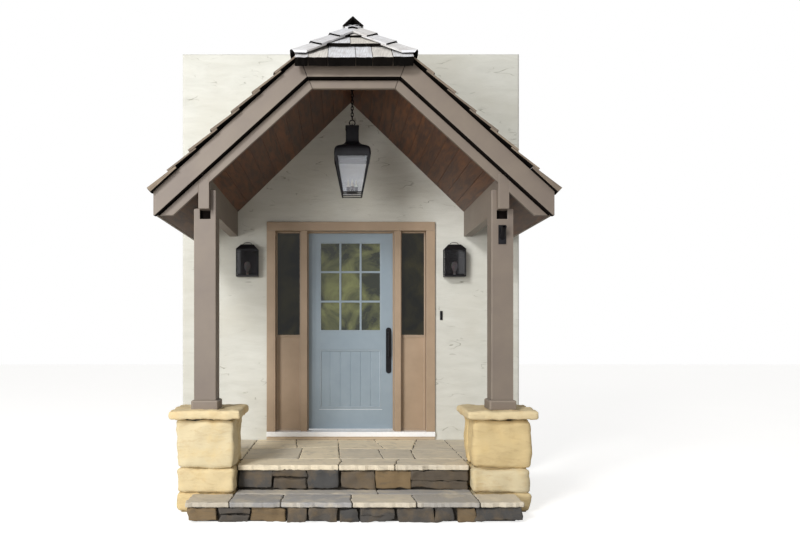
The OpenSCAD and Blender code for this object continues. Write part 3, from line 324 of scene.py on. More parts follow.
# every node of the model gets the finish of its slot
finishOfSlot = {
    "stucco": trowelledStucco,
    "fieldstone": buffFieldstone,
    "flagstone": cleftBluestone,
    "cap_stone": capSandstone,
    "timber": trimPaint,
    "roof_core": paintedShadeSheathing,
    "ceiling_boards": walnutStain,
    "shakes": splitCedar,
    "joinery": joineryPaint,
    "sill": whiteSill,
    "sub_sill": tanBoardPaint,
    "door_paint": doorEnamel,
    "glass": shadedWindowGlass,
    "ironwork": blackenedIron,
    "steel": brushedHingeSteel,
    "wax": dripWax,
    "bulb": opalBulbGlass,
}
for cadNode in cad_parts.values():
    for holder in cadNode.material_slots:
        holder.material = finishOfSlot[holder.material.name.split(".")[0]]
for glassNode, glassOfIt in (("lantern_glass", seededLampGlass), ("wall_light_glass", smokedLampGlass),
                             ("door_glass", doorGlassPaintedReflection)):
    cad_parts[glassNode].material_slots[0].material = glassOfIt
print("materials made")


# shared steps

def objectFrom(name, bm, materials):
    mesh = bpy.data.meshes.new(name)
    bm.to_mesh(mesh)
    bm.free()
    for material in materials:
        mesh.materials.append(material)
    made = bpy.data.objects.new(name, mesh)
    bpy.context.scene.collection.objects.link(made)
    return made


def pieceFrom(name, bm, materials, body="porch", nodes=()):
    bm.normal_update()
    piece = objectFrom(name, bm, materials)
    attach(piece, body)
    if nodes:
        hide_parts(*nodes)
    return piece


def cadCopy(*nodes):
    # the model's triangles, merged and with flat faces whole again
    bm = bmesh.new()
    for node in nodes:
        bm.from_mesh(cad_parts[node].data)
    bmesh.ops.remove_doubles(bm, verts=bm.verts, dist=0.00002)
    bmesh.ops.dissolve_limit(bm, angle_limit=0.01, verts=bm.verts, edges=bm.edges)
    return bm


def addTo(target, part):
    holder = bpy.data.meshes.new("holder")
    part.to_mesh(holder)
    part.free()
    target.from_mesh(holder)
    bpy.data.meshes.remove(holder)


def everything(bm):
    return bm.verts[:] + bm.edges[:] + bm.faces[:]


def splitAt(bm, axis, at, geom=None, dist=1e-6):
    # cuts the faces along a plane square to one axis, and leaves both sides
    point = Vector((0, 0, 0))
    normal = Vector((0, 0, 0))
    point[axis] = at
    normal[axis] = 1
    return bmesh.ops.bisect_plane(bm, geom=geom or everything(bm), dist=dist, plane_co=point,
                                  plane_no=normal)["geom"]


def thicken(bm):
    # doubles every face and returns the points of the new layer
    made = bmesh.ops.extrude_face_region(bm, geom=bm.faces[:])
    return [part for part in made["geom"] if isinstance(part, bmesh.types.BMVert)]


def blockBetween(bm, low, high):
    made = bmesh.ops.create_cube(bm, size=1.0)["verts"]
    bmesh.ops.scale(bm, vec=Vector(high) - Vector(low), verts=made)
    bmesh.ops.translate(bm, vec=(Vector(high) + Vector(low)) / 2, verts=made)


def uprightGrid(bm, low, high, y, columns, rows):
    # a grid facing the street, from one corner to the other
    bmesh.ops.create_grid(bm, x_segments=columns, y_segments=rows, size=0.5)
    bmesh.ops.scale(bm, vec=(high.x - low.x, high.z - low.z, 1), verts=bm.verts)
    bmesh.ops.rotate(bm, cent=(0, 0, 0), matrix=Matrix.Rotation(math.radians(90), 3, "X"), verts=bm.verts)
    bmesh.ops.translate(bm, vec=((low.x + high.x) / 2, y, (low.z + high.z) / 2), verts=bm.verts)


def trim(bm, point, outward):
    # cuts off what lies past a plane and closes the cut
    cut = bmesh.ops.bisect_plane(bm, geom=everything(bm), dist=1e-6, plane_co=point, plane_no=outward,
                                 clear_outer=True)
    rim = [part for part in cut["geom_cut"] if isinstance(part, bmesh.types.BMEdge)]
    if rim:
        bmesh.ops.edgeloop_fill(bm, edges=rim)


def easeEdges(bm, width, segments=2, sharper=0.35, wornFrom=0.0, worn=0.7):
    # rounds every sharp edge, and marks the rounded strips as worn
    wear = bm.faces.layers.float.get("wear") or bm.faces.layers.float.new("wear")
    sharp = [edge for edge in bm.edges if len(edge.link_faces) == 2 and edge.calc_face_angle(0.0) > sharper]
    made = bmesh.ops.bevel(bm, geom=sharp, offset=width, offset_type="OFFSET", segments=segments, profile=0.5,
                           affect="EDGES", clamp_overlap=True, material=-1)
    bm.normal_update()
    for face in made["faces"]:
        face[wear] = worn if abs(face.normal.z) >= wornFrom else 0.0


def layGrain(bm, along, shift=(0.0, 0.0)):
    # writes the grain's own coordinates in metres: first along the board, then across it
    bm.normal_update()
    uv = bm.loops.layers.uv.get("grain") or bm.loops.layers.uv.new("grain")
    for face in bm.faces:
        run = along(face.calc_center_median())
        side = face.normal.cross(run)
        if side.length < 0.3:
            side = run.orthogonal()
            run = face.normal.cross(side)
        side.normalize()
        for loop in face.loops:
            loop[uv].uv = (loop.vert.co.dot(run) + shift[0], loop.vert.co.dot(side) + shift[1])


def toneFaces(bm, shade, warmth):
    shadeLayer = bm.faces.layers.float.get("shade") or bm.faces.layers.float.new("shade")
    warmthLayer = bm.faces.layers.float.get("warmth") or bm.faces.layers.float.new("warmth")
    for face in bm.faces:
        face[shadeLayer] = shade
        face[warmthLayer] = warmth


def asMortar(bm, finish=1):
    toneFaces(bm, 0.0, 0.0)
    for face in bm.faces:
        face.material_index = finish


def runTo(direction):
    # a grain that runs one way all over the piece
    return lambda centre: Vector(direction)


def cutAway(bm, cutter):
    # what is left of one closed solid when another is taken out of it
    parts = [objectFrom("kept", bm, [None, None]), objectFrom("cutter", cutter, [None, None])]
    bite = parts[0].modifiers.new("bite", "BOOLEAN")
    bite.object = parts[1]
    bite.operation = "DIFFERENCE"
    bite.solver = "EXACT"
    bpy.context.view_layer.update()
    left = bpy.data.meshes.new_from_object(parts[0].evaluated_get(bpy.context.evaluated_depsgraph_get()))
    result = bmesh.new()
    result.from_mesh(left)
    bpy.data.meshes.remove(left)
    for part in parts:
        mesh = part.data
        bpy.data.objects.remove(part)
        bpy.data.meshes.remove(mesh)
    return result


def frustum(bm, stations, close=True):
    # joins rings of points into a skin; its ends are closed, or else the last ring meets the first
    rings = [[bm.verts.new(point) for point in ring] for ring in stations]
    count = len(rings[0])
    for lower, upper in zip(rings, rings[1:] if close else rings[1:] + rings[:1]):
        for i in range(count):
            bm.faces.new((lower[i], lower[(i + 1) % count], upper[(i + 1) % count], upper[i]))
    if close:
        bm.faces.new(list(reversed(rings[0])))
        bm.faces.new(rings[-1])


def turned(bm, centre, z, profile, sides):
    # a form turned on an upright axis; the profile is a list of height and radius
    x, y = centre[0], centre[1]
    angles = [2 * math.pi * k / sides for k in range(sides)]
    frustum(bm, [[(x + radius * math.cos(angle), y + radius * math.sin(angle), z + rise) for angle in angles]
                 for rise, radius in profile])


def roundedSquare(centre, z, half, radius, steps=4):
    points = []
    for quarter in range(4):
        for i in range(steps + 1):
            turn = math.pi / 2 * (quarter + i / steps)
            mid = math.pi / 2 * quarter + math.pi / 4
            cornerX = math.copysign(half - radius, math.cos(mid))
            cornerY = math.copysign(half - radius, math.sin(mid))
            points.append((centre[0] + cornerX + radius * math.cos(turn),
                           centre[1] + cornerY + radius * math.sin(turn), z))
    return points


def tube(bm, path, radius, sides=8, closed=False):
    # a round bar along a path of points
    stations = []
    count = len(path)
    angles = [2 * math.pi * k / sides for k in range(sides)]
    for i, point in enumerate(path):
        before = Vector(path[i - 1] if closed or i else path[0])
        after = Vector(path[(i + 1) % count] if closed or i < count - 1 else path[-1])
        run = (after - before).normalized()
        if abs(run.z) < 0.95:
            aside = run.cross(Vector((0.03, 0.05, 1.0))).normalized()
        else:
            aside = Vector((0, 1, 0)).cross(run).normalized()
        other = run.cross(aside)
        stations.append([Vector(point) + aside * math.cos(angle) * radius + other * math.sin(angle) * radius
                         for angle in angles])
    frustum(bm, stations, close=not closed)


xAxis, yAxis, zAxis = Vector((1, 0, 0)), Vector((0, 1, 0)), Vector((0, 0, 1))
alongX, alongY, alongZ = runTo(xAxis), runTo(yAxis), runTo(zAxis)


# stucco wall, one skin over the three wall sections

wallLook = {
    "patch": 0.45,        # m, first cuts of the face
    "cutsPerPatch": 25,   # relief points in a patch
    "strokeDepth": 0.0024,
    "ridgeDepth": 0.0016,
    "strokesAcross": 2.4,  # strokes in a metre
    "strokesUp": 8.0,
    "dragsAcross": 3.1,
    "dragsUp": 15.0,
}


def trowelRelief(x, z, look):
    broad = noise.fractal(Vector((x * look["strokesAcross"], 3.7, z * look["strokesUp"])), 0.8, 2.1, 4)
    drag = noise.ridged_multi_fractal(Vector((x * look["dragsAcross"], 9.2, z * look["dragsUp"])),
                                      0.9, 2.0, 3, 1.0, 1.6)
    return look["strokeDepth"] * (0.5 + 0.5 * broad) + look["ridgeDepth"] * 0.5 * drag


def buildStuccoWall(look):
    low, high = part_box("left_wall")
    overLow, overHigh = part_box("wall_over_door")
    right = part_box("right_wall")[1].x
    front = low.y
    bm = bmesh.new()
    uprightGrid(bm, low, Vector((right, 0, high.z)), front, 1, 1)
    for axis, at in ((0, overLow.x), (0, overHigh.x), (2, overLow.z)):
        splitAt(bm, axis, at)
    doorway = [face for face in bm.faces
               if abs(face.calc_center_median().x) < overHigh.x and face.calc_center_median().z < overLow.z]
    bmesh.ops.delete(bm, geom=doorway, context="FACES")
    bmesh.ops.translate(bm, vec=(0, high.y - front, 0), verts=thicken(bm))
    bmesh.ops.recalc_face_normals(bm, faces=bm.faces)
    # patches of nearly the same size, on the outer face alone
    face = [f for f in bm.faces if f.normal.y < -0.9]
    geom = list({part for f in face for part in [f, *f.edges, *f.verts]})
    for axis, start, stop in ((0, low.x, right), (2, low.z, high.z)):
        count = round((stop - start) / look["patch"])
        for i in range(1, count):
            geom = splitAt(bm, axis, start + (stop - start) * i / count, geom)
    bm.normal_update()
    edges = list({e for f in bm.faces if f.normal.y < -0.9 for e in f.edges})
    bmesh.ops.subdivide_edges(bm, edges=edges, cuts=look["cutsPerPatch"], use_grid_fill=True)
    for vert in bm.verts:
        if abs(vert.co.y - front) < 1e-5:
            vert.co.y -= trowelRelief(vert.co.x, vert.co.z, look)
    bm.normal_update()
    for f in bm.faces:
        f.smooth = f.normal.y < -0.5
    pieceFrom("stuccoWallSkin", bm, [trowelledStucco],
              nodes=("left_wall", "right_wall", "wall_over_door"))


buildStuccoWall(wallLook)
print("stucco wall laid")


# shakes

shakeLook = {
    "exposure": 0.235,
    "pitch": 42.3,       # degrees
    "overhang": 0.018,   # past the eave board
    "butt": 0.045,       # height of the layers at a butt
    "head": 0.024,
    "lift": 0.0255,      # underside of a shake that lies on the course below
    "taper": 0.065,
    "lap": 0.06,
    "widths": (0.085, 0.19),
    "gap": 0.005,
    "ribs": 4,
    "split": 0.0022,     # how far the ribs of a split face rise and sink
    "ragged": 0.006,     # of the butts
    "darks": (0.0, 0.04, 0.1, 0.16, 0.3),
    "hipDrop": 0.11,     # how far the clipped gable's first course runs past the front
    "hipJoints": ((0.11, 0.271, 0.498, 0.635, 0.8), (0.25, 0.457, 0.72), (0.457,)),
    "starter": 0.026,    # thickness of the doubled layer under that course
    "seed": 41,
}
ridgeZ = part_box("left_roof_frame")[1].z
eaveLow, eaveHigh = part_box("right_roof_shakes")
roofFront = eaveLow.y
wallFace = eaveHigh.y
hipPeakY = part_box("hip_frame")[1].y
# the slopes follow from the model: the deck meets the eave board's top outer corner
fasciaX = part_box("eave_boards")[1].x
sidePitch = math.radians(shakeLook["pitch"])
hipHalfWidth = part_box("hip_shakes")[1].x
hipPitch = math.atan(hipHalfWidth * math.tan(sidePitch) / (hipPeakY - roofFront))
shakeX = fasciaX + shakeLook["overhang"]


def splitGrain(bm, rng, sideFinish=0):
    # butts and undersides take the near-black cedar, and the sides the darker cedar if given, both as painted
    # shade; the grain's coordinates come from a random place in the log
    bmesh.ops.recalc_face_normals(bm, faces=bm.faces)
    uv = bm.loops.layers.uv.new("grain")
    shift = (rng.uniform(0, 40), rng.uniform(0, 40))
    for face in bm.faces:
        face.material_index = 1 if face.normal.y < -0.7 or face.normal.z < -0.5 else 0
        if sideFinish and abs(face.normal.x) > 0.7:
            face.material_index = sideFinish
        for loop in face.loops:
            spot = loop.vert.co
            loop[uv].uv = (spot.y + shift[0], spot.x + spot.z + shift[1])


def splitShake(width, length, low, look, rng):
    # one shake lying flat: x across, y up the slope, z out; few faces, since there are hundreds
    shake = bmesh.new()
    bmesh.ops.create_grid(shake, x_segments=look["ribs"], y_segments=2, size=0.5)
    lift = rng.uniform(-0.003, 0.004)
    twist = rng.uniform(-0.02, 0.02)
    ribs = {}
    for vert in shake.verts:
        column = round((vert.co.x + 0.5) * look["ribs"])
        rib = ribs.setdefault(column, (rng.uniform(-1, 1) * look["split"],
                                       rng.uniform(-1, 1) * look["ragged"]))
        up = vert.co.y + 0.5
        y = up * length
        if up < 0.01:
            y += rib[1]
        top = look["butt"] - (look["butt"] - look["head"]) * y / look["exposure"]
        vert.co = ((vert.co.x + twist * (up - 0.5) * 0.1) * width, y, top + rib[0] + lift * (1 - up))
    for vert in thicken(shake):
        if low > 0.01:
            vert.co.z = low - look["taper"] * vert.co.y
        else:
            vert.co.z = low if vert.co.y < 0.02 else 0.0008
    splitGrain(shake, rng, 2)
    silver = rng.random()
    toneFaces(shake, rng.choice(look["darks"]) * rng.random(), silver ** 2.2)
    return shake


def layShakes(name, node, origin, across, up, span, length, trims, look, joints=(), drop=0.0):
    # courses from the eave up; trims are the planes of the hips and the ridge
    rng = random.Random(look["seed"] + len(name))
    out = across.cross(up)
    place = Matrix((across, up, out)).transposed().to_4x4()
    slope = bmesh.new()
    for course in range(math.ceil(length / look["exposure"])):
        start = course * look["exposure"]
        if course < len(joints):
            stops = [0.0, *joints[course], span]
        else:
            stops = [0.0]
            while span - stops[-1] > look["widths"][1] * 1.3:
                stops.append(stops[-1] + rng.uniform(*look["widths"]))
            stops.append(span)
        for left, right in zip(stops, stops[1:]):
            width = right - left - look["gap"]
            offset = rng.uniform(-0.008, 0.008) if course else rng.uniform(-0.003, 0.004) - drop
            long = look["exposure"] + look["lap"] + (0 if course else drop)
            low = look["lift"] if course else (-look["starter"] if drop else 0.0008)
            shake = splitShake(width, long, low, look, rng)
            spot = origin + across * ((left + right) / 2) + up * (start + offset)
            bmesh.ops.transform(shake, matrix=Matrix.Translation(spot) @ place, verts=shake.verts)
            for point, outward in trims:
                trim(shake, point, outward)
            if len(shake.faces) > 3:
                addTo(slope, shake)
            else:
                shake.free()
    pieceFrom(name, slope, [splitCedar, paintedShadeCedarButt, paintedShadeCedarEdge], nodes=(node,))


cosSide, sinSide = math.cos(sidePitch), math.sin(sidePitch)
cosHip, sinHip = math.cos(hipPitch), math.sin(hipPitch)
hipRun = hipPeakY - roofFront
peak = Vector((0, hipPeakY, ridgeZ))
hipSide = Vector((hipRun, hipHalfWidth, 0)).normalized()   # across the right hip line, in plan
shakeEaveZ = ridgeZ - shakeX * math.tan(sidePitch)
sideLength = shakeX / cosSide
sideDepth = wallFace - roofFront
layShakes("rightSlopeShakes", "right_roof_shakes", Vector((shakeX, roofFront, shakeEaveZ)), yAxis,
          Vector((-cosSide, 0, sinSide)), sideDepth, sideLength,
          [((0, 0, 0), -xAxis), (peak, -hipSide)], shakeLook)
layShakes("leftSlopeShakes", "left_roof_shakes", Vector((-shakeX, wallFace, shakeEaveZ)), -yAxis,
          Vector((cosSide, 0, sinSide)), sideDepth, sideLength,
          [((0, 0, 0), xAxis), (peak, Vector((hipSide.x, -hipSide.y, 0)))], shakeLook)
hipEaveY = roofFront + shakeLook["butt"] * sinHip
hipEaveZ = ridgeZ - (hipPeakY - hipEaveY) * math.tan(hipPitch)
layShakes("hipShakes", "hip_shakes", Vector((-hipHalfWidth, hipEaveY, hipEaveZ)), xAxis,
          Vector((0, cosHip, sinHip)), 2 * hipHalfWidth, (hipPeakY - hipEaveY) / cosHip,
          [(peak, hipSide), (peak, Vector((-hipSide.x, hipSide.y, 0)))], shakeLook,
          shakeLook["hipJoints"], shakeLook["hipDrop"])
print("shakes laid")


# caps on the hips and along the ridge

capLook = {
    "wide": 0.1,
    "thick": 0.017,
    "exposure": 0.27,
    "lap": 0.07,
    "bed": 0.046,        # height of the cap's underside above the boarding
    "ridgeExposure": 0.25,
    "over": 0.04,        # trimmed off again in the mitre
    "tent": 0.06,        # how far the ridge cap runs out past the hips' meeting point
    "ridgeLift": 0.03,   # the ridge cap lies on the hip caps' heads
    "frontReach": 0.035,
    "sideReach": 0.04,
    "ragged": (-0.005, 0.004),
    "thinner": 0.35,     # share of the thickness lost at the head
    "wave": 0.0012,
    "tilt": 0.75,        # a lower cap's head lies under the butt of the one above it
    "shade": 0.12,
    "warmth": 0.35,
    "seed": 7,
}


def capBoard(width, length, look, rng):
    board = bmesh.new()
    bmesh.ops.create_grid(board, x_segments=3, y_segments=3, size=0.5)
    for vert in board.verts:
        up = vert.co.y + 0.5
        y = up * length + (rng.uniform(*look["ragged"]) if up < 0.01 else 0.0)
        z = look["thick"] * (1.0 - look["thinner"] * up) + rng.uniform(-look["wave"], look["wave"])
        vert.co = ((vert.co.x + 0.5) * (width + look["over"]) - look["over"], y, z)
    for vert in thicken(board):
        vert.co.z = 0.0
    splitGrain(board, rng)
    toneFaces(board, look["shade"] * rng.random(), look["warmth"] * rng.random())
    return board


def layCaps(name, node, lines, trims, look):
    # each line has a foot, a direction up it, a length, and the normals of the two slopes that meet there
    rng = random.Random(look["seed"])
    caps = bmesh.new()
    for foot, run, length, exposure, normals in lines:
        step = 0.0
        while step < length - 0.02:
            long = min(exposure + look["lap"], length - step + 0.02)
            for n in normals:
                other = normals[1] if n == normals[0] else normals[0]
                wide = run.cross(n).normalized()
                if wide.dot(other) > 0:
                    wide.negate()
                # the two undersides meet on a line lifted off both slopes
                rows = Matrix((normals[0], normals[1], run))
                lift = rows.inverted() @ Vector((look["bed"], look["bed"], 0))
                tilt = look["thick"] * look["tilt"]
                flip = wide.cross(run).dot(n) < 0
                board = capBoard(look["wide"], long, look, rng)
                for vert in board.verts:
                    vert.co.z += tilt * (1.0 - vert.co.y / (exposure + look["lap"]))
                frameOf = Matrix((wide, run, n)).transposed().to_4x4()
                spot = foot + run * step + lift
                bmesh.ops.transform(board, matrix=Matrix.Translation(spot) @ frameOf, verts=board.verts)
                if flip:
                    bmesh.ops.reverse_faces(board, faces=board.faces)
                trim(board, foot, (other - n).normalized())
                for point, outward in trims:
                    trim(board, point, outward)
                addTo(caps, board)
            step += exposure
    pieceFrom(name, caps, [splitCedar, paintedShadeCedarButt], nodes=(node,))


rightNormal = Vector((sinSide, 0, cosSide))
leftNormal = Vector((-sinSide, 0, cosSide))
frontNormal = Vector((0, -sinHip, cosHip))
hipLines = []
for side, slopeNormal in ((1, rightNormal), (-1, leftNormal)):
    hipFoot = Vector((side * hipHalfWidth, roofFront, ridgeZ - hipHalfWidth * math.tan(sidePitch)))
    hipLines.append((hipFoot, (peak - hipFoot).normalized(), (peak - hipFoot).length, capLook["exposure"],
                     (slopeNormal, frontNormal)))
capSide = (hipHalfWidth + capLook["sideReach"]) * xAxis
layCaps("hipCapBoards", "hip_caps", hipLines,
        [((0, roofFront - capLook["frontReach"], 0), -yAxis), (capSide, xAxis), (-capSide, -xAxis)], capLook)
ridgeFoot = Vector((0, hipPeakY - capLook["tent"], ridgeZ + capLook["ridgeLift"]))
layCaps("ridgeCapBoards", "ridge_cap",
        [(ridgeFoot, yAxis, wallFace - ridgeFoot.y, capLook["ridgeExposure"], (rightNormal, leftNormal))],
        [((0, wallFace, 0), yAxis)], capLook)
print("caps laid")


# timber boards, posts and beams: the model's solids with eased, worn edges and their own grain

def rakeRun(centre):
    return Vector((math.copysign(cosSide, -centre.x), 0, sinSide))


boardPieces = {
    "outerRakeBoards": ("outer_rakes", 0.003, trimPaint, "timber", rakeRun),
    "outerCollarBoard": ("outer_collar_board", 0.003, trimPaint, "timber", alongX),
    "innerRakeBoards": ("inner_rakes", 0.003, trimPaint, "timber", rakeRun),
    "innerCollarBoard": ("inner_collar_board", 0.003, trimPaint, "timber", alongX),
    "eaveBoardPair": ("eave_boards", 0.002, trimPaint, "timber", alongY),
    "roofBeamPair": ("roof_beams", 0.003, trimPaint, "timber", alongY),
    "leftPostTimber": ("left_post", 0.004, trimPaint, "timber", alongZ),
    "rightPostTimber": ("right_post", 0.004, trimPaint, "timber", alongZ),
    "postPlinthBlocks": ("post_plinths", 0.003, trimPaint, "timber", alongX),
    "casingLegPair": ("casing_legs", 0.003, joineryPaint, "joinery", alongZ),
    "casingHeadBoard": ("casing_head", 0.003, joineryPaint, "joinery", alongX),
    "framePostSet": ("frame_posts", 0.002, joineryPaint, "joinery", alongZ),
    "frameHeadBoard": ("frame_head", 0.002, joineryPaint, "joinery", alongX),
    "doorStopStrips": ("door_stops", 0.0015, joineryPaint, "joinery", alongZ),
    "sidelightPanelPair": ("sidelight_panels", 0.002, joineryPaint, "joinery", alongZ),
    "whiteSillBoard": ("door_sill", 0.004, whiteSill, "sill", alongX),
    "tanSillBoard": ("sub_sill", 0.002, tanBoardPaint, "sub_sill", alongX),
}
rebateLook = {
    "wide": 0.011,       # of the dark gap, below the outer boards' edge
    "deep": 0.024,
    "hidden": 0.032,     # how far it runs up behind them
    "runOut": 1.76,      # down the slope from the bend
}
saddleFrom = 2.4         # m, where the posts' saddles start
mitreGap = 0.991         # the collar boards are a little short, so the mitres stand open by about 5 mm


def rebateCutter(look):
    # follows the lower edge of the outer boards: up one slope, level, down the other
    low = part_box("outer_collar_board")[0]
    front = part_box("inner_rakes")[0].y
    bend = max(abs(vert.co.x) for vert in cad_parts["outer_collar_board"].data.vertices
               if vert.co.z < low.z + 0.001)
    stations = []
    for y in (front - 0.01, front + look["deep"]):
        ring = []
        for offset, side in ((look["hidden"], -1), (look["hidden"], 1),
                             (-look["wide"], 1), (-look["wide"], -1)):
            corner = bend + offset * math.tan(sidePitch / 2)
            inner = (side * corner, y, low.z + offset)
            outer = (side * (corner + look["runOut"] * cosSide), y, low.z + offset - look["runOut"] * sinSide)
            ring += [outer, inner] if (side < 0) == (offset > 0) else [inner, outer]
        stations.append(ring)
    cutter = bmesh.new()
    frustum(cutter, stations)
    bmesh.ops.recalc_face_normals(cutter, faces=cutter.faces)
    # the groove's faces take the near-black sheathing finish: painted shade in the gap
    for face in cutter.faces:
        face.material_index = 1
    return cutter


for boardName, (node, easing, paint, slotName, run) in boardPieces.items():
    boards = cadCopy(node)
    if boardName in ("innerRakeBoards", "innerCollarBoard", "roofBeamPair"):
        boards = cutAway(boards, rebateCutter(rebateLook))
    boards.normal_update()
    if "Timber" in boardName:
        # the saddle between the cheeks takes the near-black sheathing finish as painted shade
        postFront = min(vert.co.y for vert in boards.verts)
        sides = [abs(vert.co.x) for vert in boards.verts if vert.co.z > saddleFrom]
        for face in boards.faces:
            centre = face.calc_center_median()
            setBack = face.normal.y < -0.5 and centre.y > postFront + 0.01
            inside = abs(face.normal.x) > 0.9 and min(sides) + 0.002 < abs(centre.x) < max(sides) - 0.002
            if centre.z > saddleFrom and (setBack or inside):
                face.material_index = 1
    if boardName in ("outerRakeBoards", "outerCollarBoard"):
        # the undersides of the outer boards take the near-black sheathing finish as painted shade
        for face in boards.faces:
            if face.normal.z < -0.3:
                face.material_index = 1
    if "Collar" in boardName:
        bmesh.ops.scale(boards, vec=(mitreGap, 1, 1), verts=boards.verts)
    easeEdges(boards, easing, wornFrom=0.42 if "Rake" in boardName or "Collar" in boardName else 0.0)
    layGrain(boards, run)
    pieceFrom(boardName, boards, [paint, paintedShadeSheathing], nodes=(node,))
print("boards dressed")


# ceiling and soffit boards, cut from the model's sheets

ceilingLook = {
    "pitch": 0.143,      # width of a board
    "gap": 0.0016,
    "ease": 0.0015,
    "least": 0.004,      # m, no board is narrower
    "soffitPaintedShade": 0.45,
    "seed": 23,
}


def sliceBoards(name, node, across, along, look):
    rng = random.Random(look["seed"] + len(name))
    sheet = cadCopy(node)
    reach = [vert.co.dot(across) for vert in sheet.verts]
    stop = max(reach)
    at = min(reach)
    boards = bmesh.new()
    while at < stop - look["least"]:
        board = sheet.copy()
        trim(board, across * (at + look["gap"] / 2), -across)
        if at + look["pitch"] < stop - look["least"]:
            trim(board, across * (at + look["pitch"] - look["gap"] / 2), across)
        if len(board.faces) > 3:
            easeEdges(board, look["ease"], segments=1)
            layGrain(board, along, (rng.uniform(0, 30), rng.uniform(0, 30)))
            toneFaces(board, rng.uniform(0.0, 0.35), 0.0)
            addTo(boards, board)
        else:
            board.free()
        at += look["pitch"]
    sheet.free()
    pieceFrom(name, boards, [walnutStain], nodes=(node,))


for ceilingName, node in (("leftCeilingBoards", "left_ceiling"), ("rightCeilingBoards", "right_ceiling")):
    # the boards run level, and lie side by side in the plane of the sloping sheet
    sheetFace = max(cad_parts[node].data.polygons, key=lambda f: f.area)
    sliceBoards(ceilingName, node, Vector(sheetFace.normal).cross(yAxis).normalized(), alongY, ceilingLook)
sliceBoards("hipCeilingBoards", "hip_ceiling", xAxis, runTo((0, 0.8, 0.6)), ceilingLook)
soffit = cadCopy("eave_soffits")
easeEdges(soffit, ceilingLook["ease"])
layGrain(soffit, alongY)
# the soffit boards are darkened through the stain's pooled layer: painted shade under the eaves
toneFaces(soffit, ceilingLook["soffitPaintedShade"], 0.0)
pieceFrom("eaveSoffitBoards", soffit, [walnutStain], nodes=("eave_soffits",))
print("ceiling boarded")


# stonework

hewing = {
    "sliver": 0.22,      # share of an arris's radius below which points are merged
    "level": 0.25,       # value of the noise that leaves the face where it is
    "deepest": -0.8,
}


def hewStone(low, high, look, rng, shade, warmth):
    # a block with rounded arrises and a split face
    stone = bmesh.new()
    blockBetween(stone, low, high)
    size = high - low
    for vert in stone.verts:
        vert.co += Vector([rng.uniform(-1, 1) * look["skew"] for axis in range(3)])
    bmesh.ops.bevel(stone, geom=stone.edges[:], offset=look["round"], offset_type="OFFSET",
                    segments=look["roundSteps"], profile=0.5, affect="EDGES", clamp_overlap=True, material=-1)
    for axis in range(3):
        count = max(1, round(size[axis] / look["cell"]))
        for i in range(1, count):
            splitAt(stone, axis, low[axis] + size[axis] * i / count, dist=1e-5)
    # slivers beside the rounded arrises would fold over when the face is roughened
    bmesh.ops.remove_doubles(stone, verts=stone.verts, dist=look["round"] * hewing["sliver"])
    bmesh.ops.recalc_face_normals(stone, faces=stone.faces)
    stone.normal_update()
    shift = Vector((rng.uniform(0, 50), rng.uniform(0, 50), rng.uniform(0, 50)))
    for vert in stone.verts:
        coarse = noise.fractal(vert.co * look["waves"] + shift, 0.9, 2.1, 4)
        vert.co += vert.normal * look["relief"] * max(coarse - hewing["level"], hewing["deepest"])
        vert.co.z = max(vert.co.z, 0.0)
    for face in stone.faces:
        face.smooth = True
    toneFaces(stone, shade, warmth)
    return stone


pierLook = {
    "courses": (0.0, 0.165, 0.372, 0.785),
    # plots of each course, in shares of the pier's width and depth; a letter stands for the random split
    "plots": (
        (((0, 0), (0.42, 0.55)), ((0.42, 0), (1, 0.55)), ((0, 0.55), (0.6, 1)), ((0.6, 0.55), (1, 1))),
        (((0, 0), (1, 0.5)), ((0, 0.5), (0.45, 1)), ((0.45, 0.5), (1, 1))),
        (((0, 0), (1, "s")), ((0, "s"), (1, 1))),
    ),
    "joint": 0.003,
    "coreInset": 0.036,
    # core height from which the mortar is near black: painted shade below the cap stone
    "paintedShadeFrom": 0.74,
    "round": 0.036,
    "roundSteps": 3,
    "skew": 0.006,
    "cell": 0.03,
    "waves": 7.0,
    "relief": 0.018,
    "coreEase": 0.006,
    "splits": (0.55, 0.68),
    "shades": (0.0, 0.08),
    "warmths": (0.0, 0.9),
    "seed": 5,
}


def buildPier(name, node, look, seed):
    rng = random.Random(look["seed"] + seed)
    low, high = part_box(node)
    stones = bmesh.new()
    # buff mortar inside, and near-black raked mortar at the top below the cap stone as painted shade
    inset = Vector((look["coreInset"], look["coreInset"], 0))
    for foot, head, finish in ((low.z, look["paintedShadeFrom"], 1), (look["paintedShadeFrom"], high.z, 2)):
        coreLow = Vector((low.x, low.y, foot)) + inset
        coreHigh = Vector((high.x, high.y, head)) - inset
        core = bmesh.new()
        blockBetween(core, coreLow, coreHigh)
        easeEdges(core, look["coreEase"])
        asMortar(core, finish)
        addTo(stones, core)
    span = high - low
    half = look["joint"] / 2
    for course, (z0, z1) in enumerate(zip(look["courses"], look["courses"][1:])):
        split = rng.uniform(*look["splits"])
        for (x0, y0), (x1, y1) in look["plots"][course]:
            y0, y1 = [split if y == "s" else y for y in (y0, y1)]
            a = Vector((low.x + span.x * x0 + half * (x0 > 0), low.y + span.y * y0 + half * (y0 > 0),
                        z0 + half * (course > 0)))
            b = Vector((low.x + span.x * x1 - half * (x1 < 1), low.y + span.y * y1 - half * (y1 < 1),
                        z1 - half))
            addTo(stones, hewStone(a, b, look, rng, rng.uniform(*look["shades"]),
                                   rng.uniform(*look["warmths"])))
    pieceFrom(name, stones, [pierSandstone, buffMortar, rakedMortarAndPaintedShade], nodes=(node,))


buildPier("leftPierStones", "left_pier", pierLook, 0)
buildPier("rightPierStones", "right_pier", pierLook, 3)

